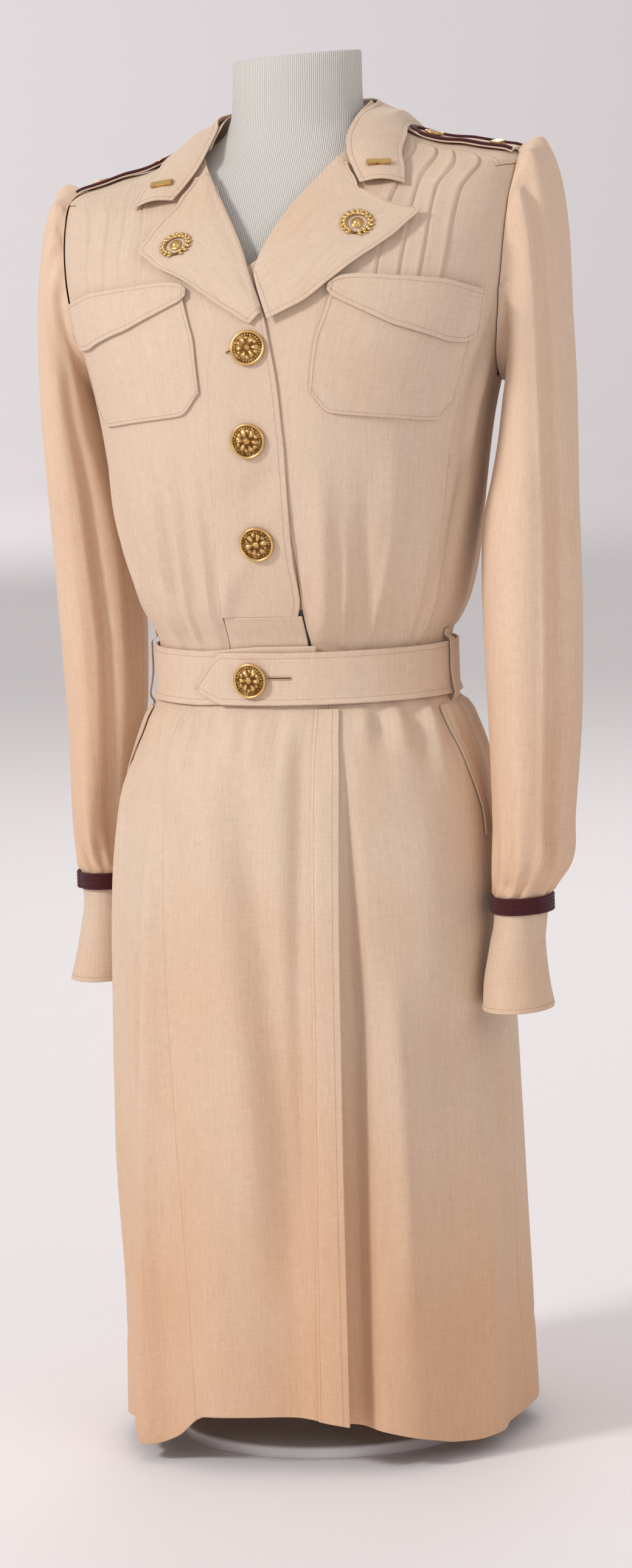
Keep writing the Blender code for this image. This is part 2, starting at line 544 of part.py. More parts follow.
def build_back(rows=11):
    columns = []
    z = bodice_rows(WAIST_Z + SEAM, ARMHOLE_Z - ARMHOLE_TALL, rows)
    columns.append((np.full(rows, 90.15), z))
    for low, stop, clear in BACK_ARMHOLE_LINES:
        columns.append(armhole_line(low, stop, rows, clear))
    # To the yoke's lower corner, up its back seam, then to the neck
    z = bodice_rows(WAIST_Z + SEAM, YOKE_LOW - 3 * SEAM, rows)
    corner = np.interp(z, [0.609, 0.905, 0.945, YOKE_LOW], [133.0, 132.5, 127.5, 180 - YOKE_ANGLE])
    columns.append((corner, z))
    for low, top in ((138.0, 0.984), (143.0, 0.995), (148.0, 1.006), (153.0, 1.0155)):
        z = bodice_rows(WAIST_Z + SEAM, top, rows)
        columns.append((np.interp(z, [0.609, 0.90, top], [low, low - 1.5, 180 - YOKE_ANGLE]), z))
    for low, high in ((160.0, 140.0), (169.0, 160.0), (180.0, 180.0)):
        z = bodice_rows(WAIST_Z + SEAM, float(neck_height(high)), rows)
        line = np.interp(z, [0.609, 0.93, neck_height(high)], [low, low - (low - high) * 0.3, high])
        columns.append((line, z))
    angles = np.stack([angle for angle, z in columns], 1)
    heights = np.stack([z for angle, z in columns], 1)
    angles = np.concatenate([angles, 360 - angles[:, -2::-1]], 1)
    heights = np.concatenate([heights, heights[:, -2::-1]], 1)
    return on_dress("bodice_back", angles, heights, -WALL, WALL)


def build_yoke(name, side):
    """The strip over the shoulder, from the front yoke seam to the back one."""
    across = np.linspace(YOKE_ANGLE + 0.35, 180 - YOKE_ANGLE - 0.35, 9)
    ends = np.linspace(0, 1, 6)[:, None]
    neck, arm = neck_height(across)[None], np.full((1, 9), YOKE_LOW)
    heights = neck + (arm - neck) * ends
    return on_dress(name, side * np.repeat(across[None], 6, 0), heights, -WALL, WALL)


def build_lapel(name, side, table):
    """The front's turned-back end: its roll line is one edge."""
    table = np.array(table)
    share = np.linspace(0, 1, 5)[None]
    steps = np.linspace(0, len(table) - 1, 2 * len(table) - 1)
    rows = np.arange(len(table))
    roll_x, roll_z, edge_x, edge_z, lift = (np.interp(steps, rows, column)[:, None] for column in table.T)
    roll_x = roll_x + side * 0.0012
    x = roll_x + (edge_x - roll_x) * share
    z = roll_z + (edge_z - roll_z) * share
    bulge = 0.0018 * np.sin(np.pi * np.clip(share * 1.6, 0, 1))
    low = LAY + 0.0006 + TUCK_HIGH * share + lift * share ** 2 + bulge
    return on_dress(name, angle_at(x, z), z, low, TRIM_WALL)


def collar_edges():
    """Inner and outer edges of the collar leaf, all round from the wearer's right front to the left front."""
    inner, outer = [], []
    for x, y, z, angle, edge_z in COLLAR_ROWS:
        place = front_point(x, z, 0.0036) if y is None else np.array([x, y, z])
        inner.append(place)
        outer.append(surface(angle, edge_z, 0.0040))
    flip = np.array([-1, 1, 1])
    inner = [place * flip for place in inner] + inner[-2::-1]
    outer = [place * flip for place in outer] + outer[-2::-1]
    return np.array(inner), np.array(outer)


def build_collar():
    """The leaf bends over its roll, so its middle stands above the straight line between its edges."""
    inner, outer = collar_edges()
    share = np.linspace(0, 1, 6)[:, None, None]
    grid = inner[None] + (outer - inner)[None] * share
    grid = clear_of_dress(grid + normal_at(grid) * np.sin(np.pi * share) * 0.004, 0.0036)
    normal = normals_of(grid)
    normal *= np.sign((normal * normal_at(grid)).sum(-1, keepdims=True))
    sheet("collar", grid + normal * TRIM_WALL, grid, "cloth")
    return grid + normal * TRIM_WALL, normal


def height_above(grid):
    """Roughly how far each point is above the dress's surface."""
    slope = np.stack([(level(grid + step) - level(grid - step)) / 0.0016 for step in np.eye(3) * 0.0008], -1)
    return (level(grid) - 1) / np.linalg.norm(slope, axis=-1)


def clear_of_dress(grid, least):
    """Moves points that are too near the dress out to the least height."""
    for _ in range(3):
        short = np.maximum(least - height_above(grid), 0)
        grid = grid + normal_at(grid) * short[..., None]
    return grid


def build_collar_stand():
    """The upright band inside the collar, from the neck seam up to the roll."""
    inner, _ = collar_edges()
    top = inner[3:-3].copy()
    away = top * [1, 1, 0] - [0, 0.030, 0]
    away /= np.linalg.norm(away, axis=-1, keepdims=True)
    top = top - away * 0.0009
    spread = np.degrees(np.arctan2(top[:, 0], -(top[:, 1] - 0.031)))
    spread = np.where(spread < 0, spread + 360, spread)
    order = np.where(spread > 180, 360 - spread, spread)
    foot_angle = np.sign(np.where(spread > 180, -1, 1)) * order
    foot = surface(foot_angle, neck_height(order) + 0.0010, -0.0008)
    share = np.linspace(0, 1, 4)[:, None, None]
    grid = foot[None] + (top - foot)[None] * share
    flat = grid * [1, 1, 0] - [0, 0.030, 0]
    flat /= np.linalg.norm(flat, axis=-1, keepdims=True)
    sheet("collar_stand", grid, grid - flat * TRIM_WALL, "cloth")


# Sleeves, cuffs and braid

def sleeve_rings(side, table, fold, thick):
    """Rings from the armhole to the braid, with the head's gathers, the long fold and the wrist's gathers."""
    count = 24
    turn = np.arange(count) * 360 / count
    rings = []
    y, z = armhole(turn, 1.03)
    y, z = y - thick * np.sin(np.radians(turn)), z + thick * np.cos(np.radians(turn))
    rings.append(surface(side_angle(y, z), z, 0.0014))
    for index, row in enumerate(table):
        outer_x, outer_z, inner_x, inner_z, deep, middle = row
        centre_x, centre_z = (outer_x + inner_x) / 2, (outer_z + inner_z) / 2
        reach = math.hypot(outer_x - inner_x, outer_z - inner_z) / 2
        along = np.array([outer_x - centre_x, 0, outer_z - centre_z]) / reach
        cosine, sine = np.cos(np.radians(turn)), np.sin(np.radians(turn))
        head = 0.0016 * np.cos(np.radians(turn * 12)) * ramp(cosine, -0.1, 0.7) * max(0.0, 1 - index / 4.5)
        wrist = 0.0014 * np.cos(np.radians(turn * 12)) * ramp(index, 7.5, 9.5) * (index < 11)
        fold_turn = np.interp(index, [at for at, _ in fold], [value for _, value in fold])
        depth = 0.0032 * ramp(index, 0.5, 2.5) * (1 - ramp(index, 9, 11))
        crease = -depth * np.exp(-((turn - fold_turn) / 12.0) ** 2)
        size = thick + head + wrist + crease
        ring = (np.array([centre_x, middle, centre_z]) + along * ((reach + size) * cosine)[:, None]
                + np.array([0, -1, 0]) * ((deep + size) * sine)[:, None])
        rings.append(ring)
    rings = np.array(rings)
    rings[..., 0] *= side
    return rings


def build_sleeve(name, side, table, fold):
    outer = sleeve_rings(side, table, fold, WALL)
    sheet(name, outer, sleeve_rings(side, table, fold, 0.0), "cloth", around=True)


def wrapped(name, side, table, thick, start, overlap, gap, material):
    """A strip wrapped once round and a little past its own start, each ring an oval."""
    turn = np.linspace(start, start + 360 + overlap, WRAP_COLUMNS)
    share = (turn - start) / 360 * (thick + gap)
    outer, inner = [], []
    for z, wide, deep, x, y in table:
        for rings, extra in ((outer, thick), (inner, 0.0)):
            angle = np.radians(turn)
            ring_x = side * (x + (wide + share + extra) * np.sin(angle))
            ring_y = y - (deep + share + extra) * np.cos(angle)
            rings.append(np.stack([ring_x, ring_y, np.full(WRAP_COLUMNS, z)], -1))
    return sheet(name, np.array(outer), np.array(inner), material)


def build_braid(name, side, cuff, low, high):
    """The ribbed band over the join of sleeve and cuff."""
    _, wide, deep, x, y = cuff[0]
    turn = np.radians(np.arange(24) * 360 / 24)
    grids = []
    for extra in (0.0, TRIM_WALL):
        grow = 0.0049 + extra
        ring_x, ring_y = side * (x + (wide + grow) * np.sin(turn)), y - (deep + grow) * np.cos(turn)
        grids.append(np.array([np.stack([ring_x, ring_y, np.full(24, z)], -1) for z in (high, low)]))
    sheet(name, grids[1], grids[0], "braid", around=True)


# Skirt

hem_height = smooth_column([row[0] for row in HEM_ROWS], [row[1] for row in HEM_ROWS])
gore_x, strip_inner, strip_free, recess_end = (column_of(SEAM_ROWS, i) for i in range(1, 5))


def fold_out(angle, z):
    """How far the skirt's folds carry it out (or in) at an angle and height."""
    angle = (np.asarray(angle, float) + 180) % 360 - 180
    total = np.zeros(np.broadcast(angle, z).shape)
    for at, spread, out, start in SKIRT_FOLDS:
        away = (angle - at + 180) % 360 - 180
        total = total + out * np.exp(-(away / spread) ** 2 * 1.4) * ramp(start - z, 0.0, start * 0.95)
    gathers = 0.0012 * np.sin(np.radians(angle * 17)) * ramp(z, 0.50, 0.570) * (1 - ramp(z, 0.575, 0.586))
    return total + gathers


def skirt_sheet(name, angles, shares, extra, thick=WALL):
    """A skirt piece: angles by row and column, share 0 at the waist and 1 at the hem."""
    wrapped_angle = (angles + 180) % 360 - 180
    top = WAIST_Z - SEAM
    heights = top + (hem_height(wrapped_angle) - top) * shares
    low = fold_out(wrapped_angle, heights) + extra
    return on_dress(name, angles, heights, low - thick, thick)


def skirt_rows():
    """Shares of the skirt's drop: closer together at the belt, where the form turns in."""
    below = [0.5950, 0.5830, 0.5650, 0.5400, 0.5000, 0.4300, 0.3500, 0.2600, 0.1700, 0.0900, 0.0280]
    stops = np.array([WAIST_Z - SEAM] + below)
    return ((stops[0] - stops) / (stops[0] - stops[-1]))[:, None]


def seam_angles(function, shares, shift=0.0):
    """The angle of a seam given as x by height, for each row."""
    z = WAIST_Z + (0.028 - WAIST_Z) * shares[:, 0]
    return angle_at(function(z) + shift, z)


def build_skirt():
    shares = skirt_rows()
    rows = len(shares)
    gore = seam_angles(gore_x, shares)
    inner = seam_angles(strip_inner, shares, 0.0095)
    half_gap = 0.00015
    z = WAIST_Z + (0.028 - WAIST_Z) * shares

    def spread(left, right, count):
        t = np.linspace(0, 1, count)[None]
        return left[:, None] + (right - left)[:, None] * t

    gap_angle = np.degrees(half_gap / 0.13)
    front_panel = spread(gore + gap_angle, inner - gap_angle, 13)
    skirt_sheet("skirt_front", front_panel, shares, 0.0)
    side_right = spread(np.full(rows, -90.0 + gap_angle), gore - gap_angle, 9)
    skirt_sheet("skirt_side_right", side_right, shares, 0.0)
    # The left side piece starts under the strip, sinks into the recess and comes up again at its end
    free = seam_angles(strip_free, shares)
    end = seam_angles(recess_end, shares)
    stops = [inner + gap_angle, (inner + free) / 2 + 1.0, free + 1.2, (free + end) / 2, end - 1.0, end + 1.6]
    recess = np.stack(stops, 1)
    rest = spread(end + 1.6, np.full(rows, 90.0 - gap_angle), 8)[:, 1:]
    side_left = np.concatenate([recess, rest], 1)
    depth = 0.017 * ramp(0.60 - z, 0.0, 0.30)
    sink = np.zeros_like(side_left)
    sink[:, 1:5] = -depth * np.array([[0.45, 0.9, 1.0, 0.55]])
    skirt_sheet("skirt_side_left", side_left, shares, sink)
    for name, left, right in (("skirt_back_left", 90.0, 180.0), ("skirt_back_right", 180.0, 270.0)):
        panel = spread(np.full(rows, left + gap_angle), np.full(rows, right - gap_angle), 11)
        skirt_sheet(name, panel, shares, 0.0)
    # The strip lies over the front piece's edge, and its free edge stands off a little
    below = slice(2, None)
    strip = spread(seam_angles(strip_inner, shares), free, 5)
    stand_off = WALL + LAY + 0.0004 + np.linspace(0, 1, 5)[None] * 0.0022 * ramp(0.60 - z, 0.0, 0.3)
    skirt_sheet("skirt_front_strip", strip[below], shares[below], stand_off[below], WALL)


def build_hip_welt(name, side):
    """The stitched edge of the slanted hip pocket."""
    share = np.linspace(0, 1, 7)[:, None]
    z = 0.580 + (0.478 - 0.580) * share
    edge_x = np.interp(z, [0.478, 0.49, 0.52, 0.555, 0.583], [0.1465, 0.1455, 0.1395, 0.128, 0.1145])
    first = angle_at(edge_x, z)
    wide = np.linspace(0, 1, 3)[None] * 5.0
    angles = side * (first + wide)
    low = fold_out(angles, z) + LAY + 0.0006
    return on_dress(name, angles, z + 0 * angles, low, TRIM_WALL)


# Waist inset, pockets and flaps

def build_inset():
    x = np.linspace(-0.0340, 0.0285, 6)[None]
    z = np.array([WAIST_Z + SEAM, 0.6215, 0.6330, 0.6450, 0.6568])[:, None]
    x, z = np.broadcast_arrays(x, z)
    on_dress("waist_inset", angle_at(x, z), z, -WALL, WALL)


def build_pocket(name, side, shift):
    """A patch pocket with round lower corners."""
    share = np.linspace(0, 1, 9)[None]
    down = np.linspace(0, 1, 5)[:, None]
    corner = 0.016 * (np.clip(1 - share / 0.16, 0, 1) ** 2 + np.clip(1 - (1 - share) / 0.16, 0, 1) ** 2)
    top = 0.9030 - 0.0200 * share
    bottom = 0.8150 - 0.0130 * share + corner
    z = top + (bottom - top) * down
    near, far = 15.0 - 2.4 * np.clip(down * 2.2, 0, 1), 62.5 - 2.0 * down
    angles = side * (near + (far - near) * share) + shift
    low = LAY + 0.0006 + TUCK_HIGH * ramp(z, 0.884, 0.9)
    return on_dress(name, angles, z, low, TRIM_WALL)


def build_flap(name, side, shift):
    """A shaped flap, deeper on the arm's side and round at its near end, over the pocket's mouth."""
    share = np.array([0.0, 0.025, 0.07, 0.14, 0.25, 0.38, 0.52, 0.66, 0.80, 0.90, 0.965, 1.0])[None]
    down = np.linspace(0, 1, 5)[:, None]
    heights = [0.9085, 0.9115, 0.9135, 0.9140, 0.9110, 0.9075, 0.8990]
    top = np.interp(share, [0, 0.025, 0.07, 0.14, 0.40, 0.66, 1], heights)
    bottom = np.interp(share, [0, 0.025, 0.07, 0.14, 0.35, 0.62, 0.85, 0.95, 1],
                       [0.9035, 0.9000, 0.8965, 0.8920, 0.8795, 0.8700, 0.8625, 0.8640, 0.8720])
    z = top + (bottom - top) * down
    angles = side * (14.0 + (63.0 - 14.0) * share) + shift + 0 * z
    low = LAY * 2 + TUCK_HIGH + TRIM_WALL + 0.0006 * down + 0 * share
    return on_dress(name, angles, z, low + 0.0003, TRIM_WALL)


# Belt, loops, buttons and pins

def build_belt_strip():
    """The belt, from its hidden end at the front round the right side, back and left side to its point."""
    middle = (BELT_LOW + BELT_HIGH) / 2
    hidden, tip = float(angle_at(0.034, middle)), float(angle_at(-0.063, middle))
    # It goes down in angle from the hidden end, through -90, -180 and -270, to the tip one turn on
    near_tip = tip - 360 + 18
    turn = np.concatenate([np.linspace(hidden, near_tip, 40), np.linspace(near_tip, tip - 360, 5)[1:]])
    travelled = (hidden - turn) / 360
    low = BELT_LIFT + travelled * (BELT_WALL + BELT_GAP)
    point = np.clip((tip - 360 + 13 - turn) / 13, 0, 1)
    bottom = BELT_LOW + 0.0145 * point ** 1.3
    top = BELT_HIGH - 0.0290 * point ** 1.2
    raised = 0.0048 * ramp(travelled, -0.01, 0.0) * (1 - ramp(travelled, 0.05, 0.14))
    rows = np.linspace(0, 1, 3)[:, None]
    z = (bottom + raised)[None] + (top - bottom)[None] * rows
    angles = np.repeat(turn[None], 3, 0)
    on_dress("belt", angles, z, np.repeat(low[None], 3, 0), BELT_WALL)


def build_belt_loop(name, side):
    """A narrow carrier at the side seam, over the belt."""
    rows = [
        (0.5760, 0.0012), (0.5810, 0.0014), (0.5838, 0.0070), (0.6080, 0.0072),
        (0.6315, 0.0070), (0.6345, 0.0014), (0.6390, 0.0010),
    ]
    z = np.array([row[0] for row in rows])[:, None]
    low = np.array([row[1] for row in rows])[:, None]
    angles = side * np.linspace(80.0, 84.5, 3)[None] + 0 * z
    if side < 0:
        angles = angles[:, ::-1]
    outer = surface(angles, z + 0 * angles, low + 0.0011)
    inner = surface(angles, z + 0 * angles, low + 0 * angles)
    inner[2, :, 2] += 0.0006
    inner[-3, :, 2] -= 0.0006
    sheet(name, outer, inner, "cloth")


def ridge_point(x, across, side, out):
    """A point over the shoulder: x out from the neck, and a distance across its ridge."""
    heights = np.linspace(0.976, 1.0215, 160)
    ridge = half_width(heights)
    z = np.interp(x, ridge[::-1], heights[::-1])
    y = centre(z) + across - LOOP_FORWARD
    place = np.stack(np.broadcast_arrays(x, y, z + 0.004), -1).astype(float)
    # Down onto the surface
    for _ in range(40):
        place[..., 2] -= np.clip(height_above(place), -0.004, 0.004) * 0.9
    return (place + normal_at(place) * out) * [side, 1, 1]


LOOP_END, LOOP_TIP, LOOP_HALF = 0.176, 0.0900, 0.0200
LOOP_LOW, LOOP_FORWARD = 0.0018, 0.0080


def loop_half_at(x):
    """Half the shoulder loop's width: it narrows into a soft point at the neck."""
    stops = [LOOP_TIP, LOOP_TIP + 0.004, LOOP_TIP + 0.016, LOOP_END]
    return np.interp(x, stops, [0.0075, 0.0115, 0.0175, LOOP_HALF])


def build_shoulder_loop(side, word):
    x = np.linspace(LOOP_TIP, LOOP_END, 8)[:, None]
    across = np.linspace(-1, 1, 5)[None] * loop_half_at(x)
    sheet(f"shoulder_loop_{word}", ridge_point(x + 0 * across, across, side, LOOP_LOW + TRIM_WALL),
          ridge_point(x + 0 * across, across, side, LOOP_LOW), "cloth")
    # The cord runs near the edge, from the sleeve along the front, round the point and back
    inset, radius = 0.0038, 0.0010
    xs = np.linspace(LOOP_END - 0.001, LOOP_TIP + 0.012, 6)
    front_run = [(x, -(loop_half_at(x) - inset)) for x in xs]
    back_run = [(x, loop_half_at(x) - inset) for x in xs[::-1]]
    tip_run = [(LOOP_TIP + 0.0045, -0.0070), (LOOP_TIP + 0.0028, 0.0), (LOOP_TIP + 0.0045, 0.0070)]
    path = np.array(front_run + tip_run + back_run)
    line = ridge_point(path[:, 0], path[:, 1], side, LOOP_LOW + TRIM_WALL + SEAM + radius)
    tube(f"loop_piping_{word}", line, radius, "braid")


def tube(name, line, radius, material, sides=5):
    """A cord along a line of points."""
    along = np.gradient(line, axis=0)
    along /= np.linalg.norm(along, axis=-1, keepdims=True)
    up = np.tile([0, 0, 1.0], (len(line), 1))
    across = np.cross(along, up)
    across /= np.linalg.norm(across, axis=-1, keepdims=True)
    up = np.cross(across, along)
    turn = np.radians(np.arange(sides) * 360 / sides)
    sideways = across[:, None] * np.cos(turn)[None, :, None]
    rings = line[:, None] + radius * (sideways + up[:, None] * np.sin(turn)[None, :, None])
    count, faces = len(line), []
    for i in range(count - 1):
        for j in range(sides):
            k = (j + 1) % sides
            faces.append((i * sides + j, i * sides + k, (i + 1) * sides + k, (i + 1) * sides + j))
    faces.append(tuple(range(sides))[::-1])
    faces.append(tuple((count - 1) * sides + j for j in range(sides)))
    return add_solid(name, rings.reshape(-1, 3), faces, material)


def button_profile(radius):
    """A domed button with a raised rim."""
    rim = [(radius * 0.85, 0.0), (radius, 0.0014), (radius * 0.96, 0.0032)]
    return rim + [(radius * 0.80, 0.0030), (radius * 0.40, 0.0052)]


def build_buttons():
    spots = [("button_top", 0.002, 0.864), ("button_middle", 0.000, 0.794), ("button_low", 0.001, 0.715)]
    for name, x, z in spots:
        place = front_point(x, z)
        facing = normal_at(place)
        turned(name, button_profile(BUTTON_R), place + facing * LAY, facing, "gilt", 14)
    place = front_point(-0.015, 0.6075)
    facing = normal_at(place)
    over = BELT_LIFT + 1.07 * (BELT_WALL + BELT_GAP) + BELT_WALL + 0.0015
    turned("button_belt", button_profile(BUTTON_R), place + facing * over, facing, "gilt", 14)
    for side, word in ((1, "left"), (-1, "right")):
        lift = LOOP_LOW + TRIM_WALL + LAY
        place = ridge_point(np.array([LOOP_TIP + 0.019]), np.array([0.0]), side, lift)[0]
        facing = normal_at(place)
        turned(f"button_loop_{word}", button_profile(0.0078), place, facing, "gilt", 12)


def build_pins(collar_top, collar_normal):
    """Plain bars on the shoulder loops and the collar, and a small oval brooch on each lapel."""
    for side, word in ((1, "left"), (-1, "right")):
        lift = LOOP_LOW + TRIM_WALL + LAY
        place = ridge_point(np.array([LOOP_END - 0.016]), np.array([-0.002]), side, lift)[0]
        box_on(f"shoulder_bar_{word}", place, normal_at(place), (0, 1, 0), (0.024, 0.0075, 0.0022), "gilt")
    spots = (("left", 0.078, 0.9480, 0.0050), ("right", -0.0625, 0.9420, 0.0050))
    for word, x, z, lift in spots:
        place = front_point(x, z)
        facing = normal_at(place)
        profile = [(0.0104, 0.0), (0.0118, 0.0012), (0.0080, 0.0030), (0.0040, 0.0022)]
        turned(f"lapel_brooch_{word}", profile, place + facing * lift, facing, "gilt", 14, 1.15)
    for column, word in ((1, "right"), (-2, "left")):
        place, facing = collar_top[2:4, column].mean(0), collar_normal[2:4, column].mean(0)
        along = collar_top[4, column] - collar_top[1, column]
        box_on(f"collar_bar_{word}", place + facing * 0.0006, facing, along, (0.019, 0.0055, 0.0018), "gilt")


build_form()
build_front("bodice_front_left", 1, LAPEL_LEFT)
build_front("bodice_front_right", -1, LAPEL_RIGHT)
build_back()
for SIDE, WORD in ((1, "left"), (-1, "right")):
    build_yoke(f"shoulder_yoke_{WORD}", SIDE)
    build_shoulder_loop(SIDE, WORD)
    build_hip_welt(f"hip_pocket_edge_{WORD}", SIDE)
    build_belt_loop(f"belt_loop_{WORD}", SIDE)
build_lapel("lapel_left", 1, LAPEL_LEFT)
build_lapel("lapel_right", -1, LAPEL_RIGHT)
COLLAR_TOP, COLLAR_NORMAL = build_collar()
build_collar_stand()
build_sleeve("sleeve_left", 1, SLEEVE_LEFT, SLEEVE_FOLD_LEFT)
build_sleeve("sleeve_right", -1, SLEEVE_RIGHT, SLEEVE_FOLD_RIGHT)
wrapped("cuff_left", 1, CUFF_LEFT, WALL, 100.0, 16.0, 0.0006, "cloth")
wrapped("cuff_right", -1, CUFF_RIGHT, WALL, 100.0, 16.0, 0.0006, "cloth")
build_braid("braid_left", 1, CUFF_LEFT, 0.4215, 0.4345)
build_braid("braid_right", -1, CUFF_RIGHT, 0.4310, 0.4440)
build_skirt()
build_inset()
build_pocket("pocket_left", 1, 1.8)
build_pocket("pocket_right", -1, 1.8)
build_flap("pocket_flap_left", 1, 1.8)
build_flap("pocket_flap_right", -1, 1.8)
build_belt_strip()
build_buttons()
build_pins(COLLAR_TOP, COLLAR_NORMAL)
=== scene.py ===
"""Looks of the nurse uniform dress: fine cloth shells, sewing, trim, dress form, studio and camera. Metres, +Z up."""
import math

import bpy
import numpy as np
from mathutils import Matrix, Vector


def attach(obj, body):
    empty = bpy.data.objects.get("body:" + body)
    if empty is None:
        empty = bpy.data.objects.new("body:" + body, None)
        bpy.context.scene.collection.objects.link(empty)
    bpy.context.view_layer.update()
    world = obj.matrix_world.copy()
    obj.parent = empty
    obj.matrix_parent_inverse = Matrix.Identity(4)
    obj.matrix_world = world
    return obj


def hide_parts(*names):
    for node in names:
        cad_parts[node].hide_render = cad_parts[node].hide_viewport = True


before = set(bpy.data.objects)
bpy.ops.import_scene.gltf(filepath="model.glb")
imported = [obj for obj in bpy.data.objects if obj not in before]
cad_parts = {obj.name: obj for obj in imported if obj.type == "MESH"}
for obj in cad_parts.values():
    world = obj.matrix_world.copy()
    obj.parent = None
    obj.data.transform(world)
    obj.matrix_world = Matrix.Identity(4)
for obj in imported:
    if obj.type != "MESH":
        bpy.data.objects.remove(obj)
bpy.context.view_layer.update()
BODY = "root"

# Fineness of the cloth
CLOTH_STEP = 0.0045
TRIM_STEP = 0.0023
# Creases run up and down, so a cell of cloth is this much longer than it is wide
CLOTH_TALL = 2.0
EDGE_STEP = 0.0005
# How deep the creases of the bodice and of the skirt are, against their tables
BODICE_DEPTH, SKIRT_DEPTH = 2.1, 2.1
STITCH_PITCH, STITCH_LONG, STITCH_R = 0.0022, 0.0016, 0.00019

# Main sizes
WALL = 0.0016
TRIM_WALL = 0.0013
SEAM = 0.0003
LAY = 0.0004
WAIST_Z = 0.6085
BELT_LOW, BELT_HIGH = 0.586, 0.629
ARMHOLE_Y, ARMHOLE_Z = 0.031, 0.905
ARMHOLE_DEEP, ARMHOLE_TALL = 0.062, 0.073
SHOULDER_LEAN = 0.065
SHOULDER_SQUARE, SQUARE_FROM, SQUARE_TO = 0.17, 0.105, 0.172
YOKE_ANGLE, YOKE_LOW = 64.0, 0.9735
TUCK_HIGH = 0.0011
BUTTON_R = 0.0136
BELT_WALL = 0.0020
BELT_GAP = 0.0008
BELT_LIFT = 0.0014
WRAP_COLUMNS = 23

# The dress's outer form. Columns: height, half width, front, back, centre, squareness of the section
FORM_ROWS = [
    (0.000, 0.1605, -0.167, 0.160, 0.000, 2.4),
    (0.150, 0.158, -0.158, 0.154, 0.000, 2.35),
    (0.300, 0.156, -0.148, 0.148, 0.000, 2.25),
    (0.430, 0.153, -0.138, 0.142, 0.000, 2.15),
    (0.520, 0.143, -0.124, 0.132, 0.000, 2.1),
    (0.570, 0.128, -0.108, 0.112, 0.000, 2.05),
    (0.595, 0.116, -0.096, 0.094, 0.000, 2.0),
    (0.627, 0.116, -0.096, 0.094, 0.000, 2.0),
    (0.663, 0.130, -0.114, 0.102, 0.000, 2.1),
    (0.730, 0.1437, -0.131, 0.108, 0.002, 2.2),
    (0.800, 0.153, -0.139, 0.116, 0.005, 2.3),
    (0.845, 0.163, -0.139, 0.122, 0.010, 2.35),
    (0.890, 0.177, -0.130, 0.130, 0.018, 2.4),
    (0.930, 0.186, -0.110, 0.135, 0.026, 2.4),
    (0.955, 0.189, -0.092, 0.133, 0.030, 2.3),
    (0.975, 0.186, -0.074, 0.126, 0.032, 2.2),
    (0.990, 0.155, -0.060, 0.114, 0.034, 2.1),
    (1.005, 0.120, -0.048, 0.100, 0.034, 2.05),
    (1.018, 0.088, -0.038, 0.088, 0.033, 2.0),
    (1.032, 0.060, -0.028, 0.076, 0.031, 2.0),
]

# The padded torso: how far it keeps inside the dress at each height
TORSO_CLEAR = [
    (0.470, 0.0120), (0.530, 0.0120), (0.565, 0.0100), (0.590, 0.0068), (0.612, 0.0060), (0.632, 0.0072),
    (0.662, 0.0095), (0.720, 0.0095), (0.800, 0.0085), (0.850, 0.0080), (0.895, 0.0080), (0.930, 0.0066),
    (0.956, 0.0052), (0.972, 0.0042), (0.982, 0.0034), (0.993, 0.0027), (1.005, 0.0027), (1.016, 0.0040),
]
NECK_ROWS = [
    (1.030, 0.0560, 0.0450, 0.0275),
    (1.045, 0.0520, 0.0430, 0.0290),
    (1.082, 0.0510, 0.0430, 0.0330),
]

# Cut lines of a front. Columns: name, x at the waist, the pocket and the yoke, share of the tuck's height
FRONT_CUTS = [
    ("chest", 0.0450, 0.0360, 0.0180, 0.0),
    ("lapel", 0.0540, 0.0560, 0.0380, 0.0),
    ("neck", 0.0620, 0.0740, 0.0640, 0.0),
    ("tuck 1 rise", 0.0680, 0.0880, 0.0930, 0.0),
    ("tuck 1 fold", 0.0710, 0.0935, 0.1000, 1.0),
    ("tuck 1 drop", 0.0720, 0.0950, 0.1015, 0.0),
    ("tuck 2 rise", 0.0770, 0.1045, 0.1120, 0.0),
    ("tuck 2 fold", 0.0795, 0.1095, 0.1185, 1.0),
    ("tuck 2 drop", 0.0805, 0.1110, 0.1200, 0.0),
    ("tuck 3 rise", 0.0850, 0.1190, 0.1270, 0.0),
    ("tuck 3 fold", 0.0875, 0.1240, 0.1325, 1.0),
    ("tuck 3 drop", 0.0885, 0.1255, 0.1340, 0.0),
    ("tuck 4 rise", 0.0920, 0.1340, 0.1440, 0.0),
    ("tuck 4 fold", 0.0945, 0.1390, 0.1505, 1.0),
    ("tuck 4 drop", 0.0955, 0.1405, 0.1520, 0.0),
    ("arm", 0.0995, 0.1520, 0.1570, 0.0),
]
# Lines from the waist to the armhole. Columns: angle at the waist, turn of its end, distance beside the hole
FRONT_ARMHOLE_LINES = [
    (63.0, 22.0, 0.0040), (65.0, 44.0, 0.0024), (67.0, 66.0, 0.0010),
    (70.0, 90.0, 0.0), (75.0, 118.0, 0.0), (81.0, 150.0, 0.0),
]
BACK_ARMHOLE_LINES = [
    (97.0, 210.0, 0.0), (104.0, 242.0, 0.0), (111.0, 270.0, 0.0),
    (117.0, 300.0, 0.0012), (122.0, 322.0, 0.0026), (127.0, 338.0, 0.0042),
]
# The left front's visible fold above the belt. Columns: height, x
FOLD_X = [
    (0.609, 0.0330), (0.640, 0.0326), (0.660, 0.0326),
    (0.676, 0.0324), (0.700, 0.0306), (0.712, 0.0300),
]
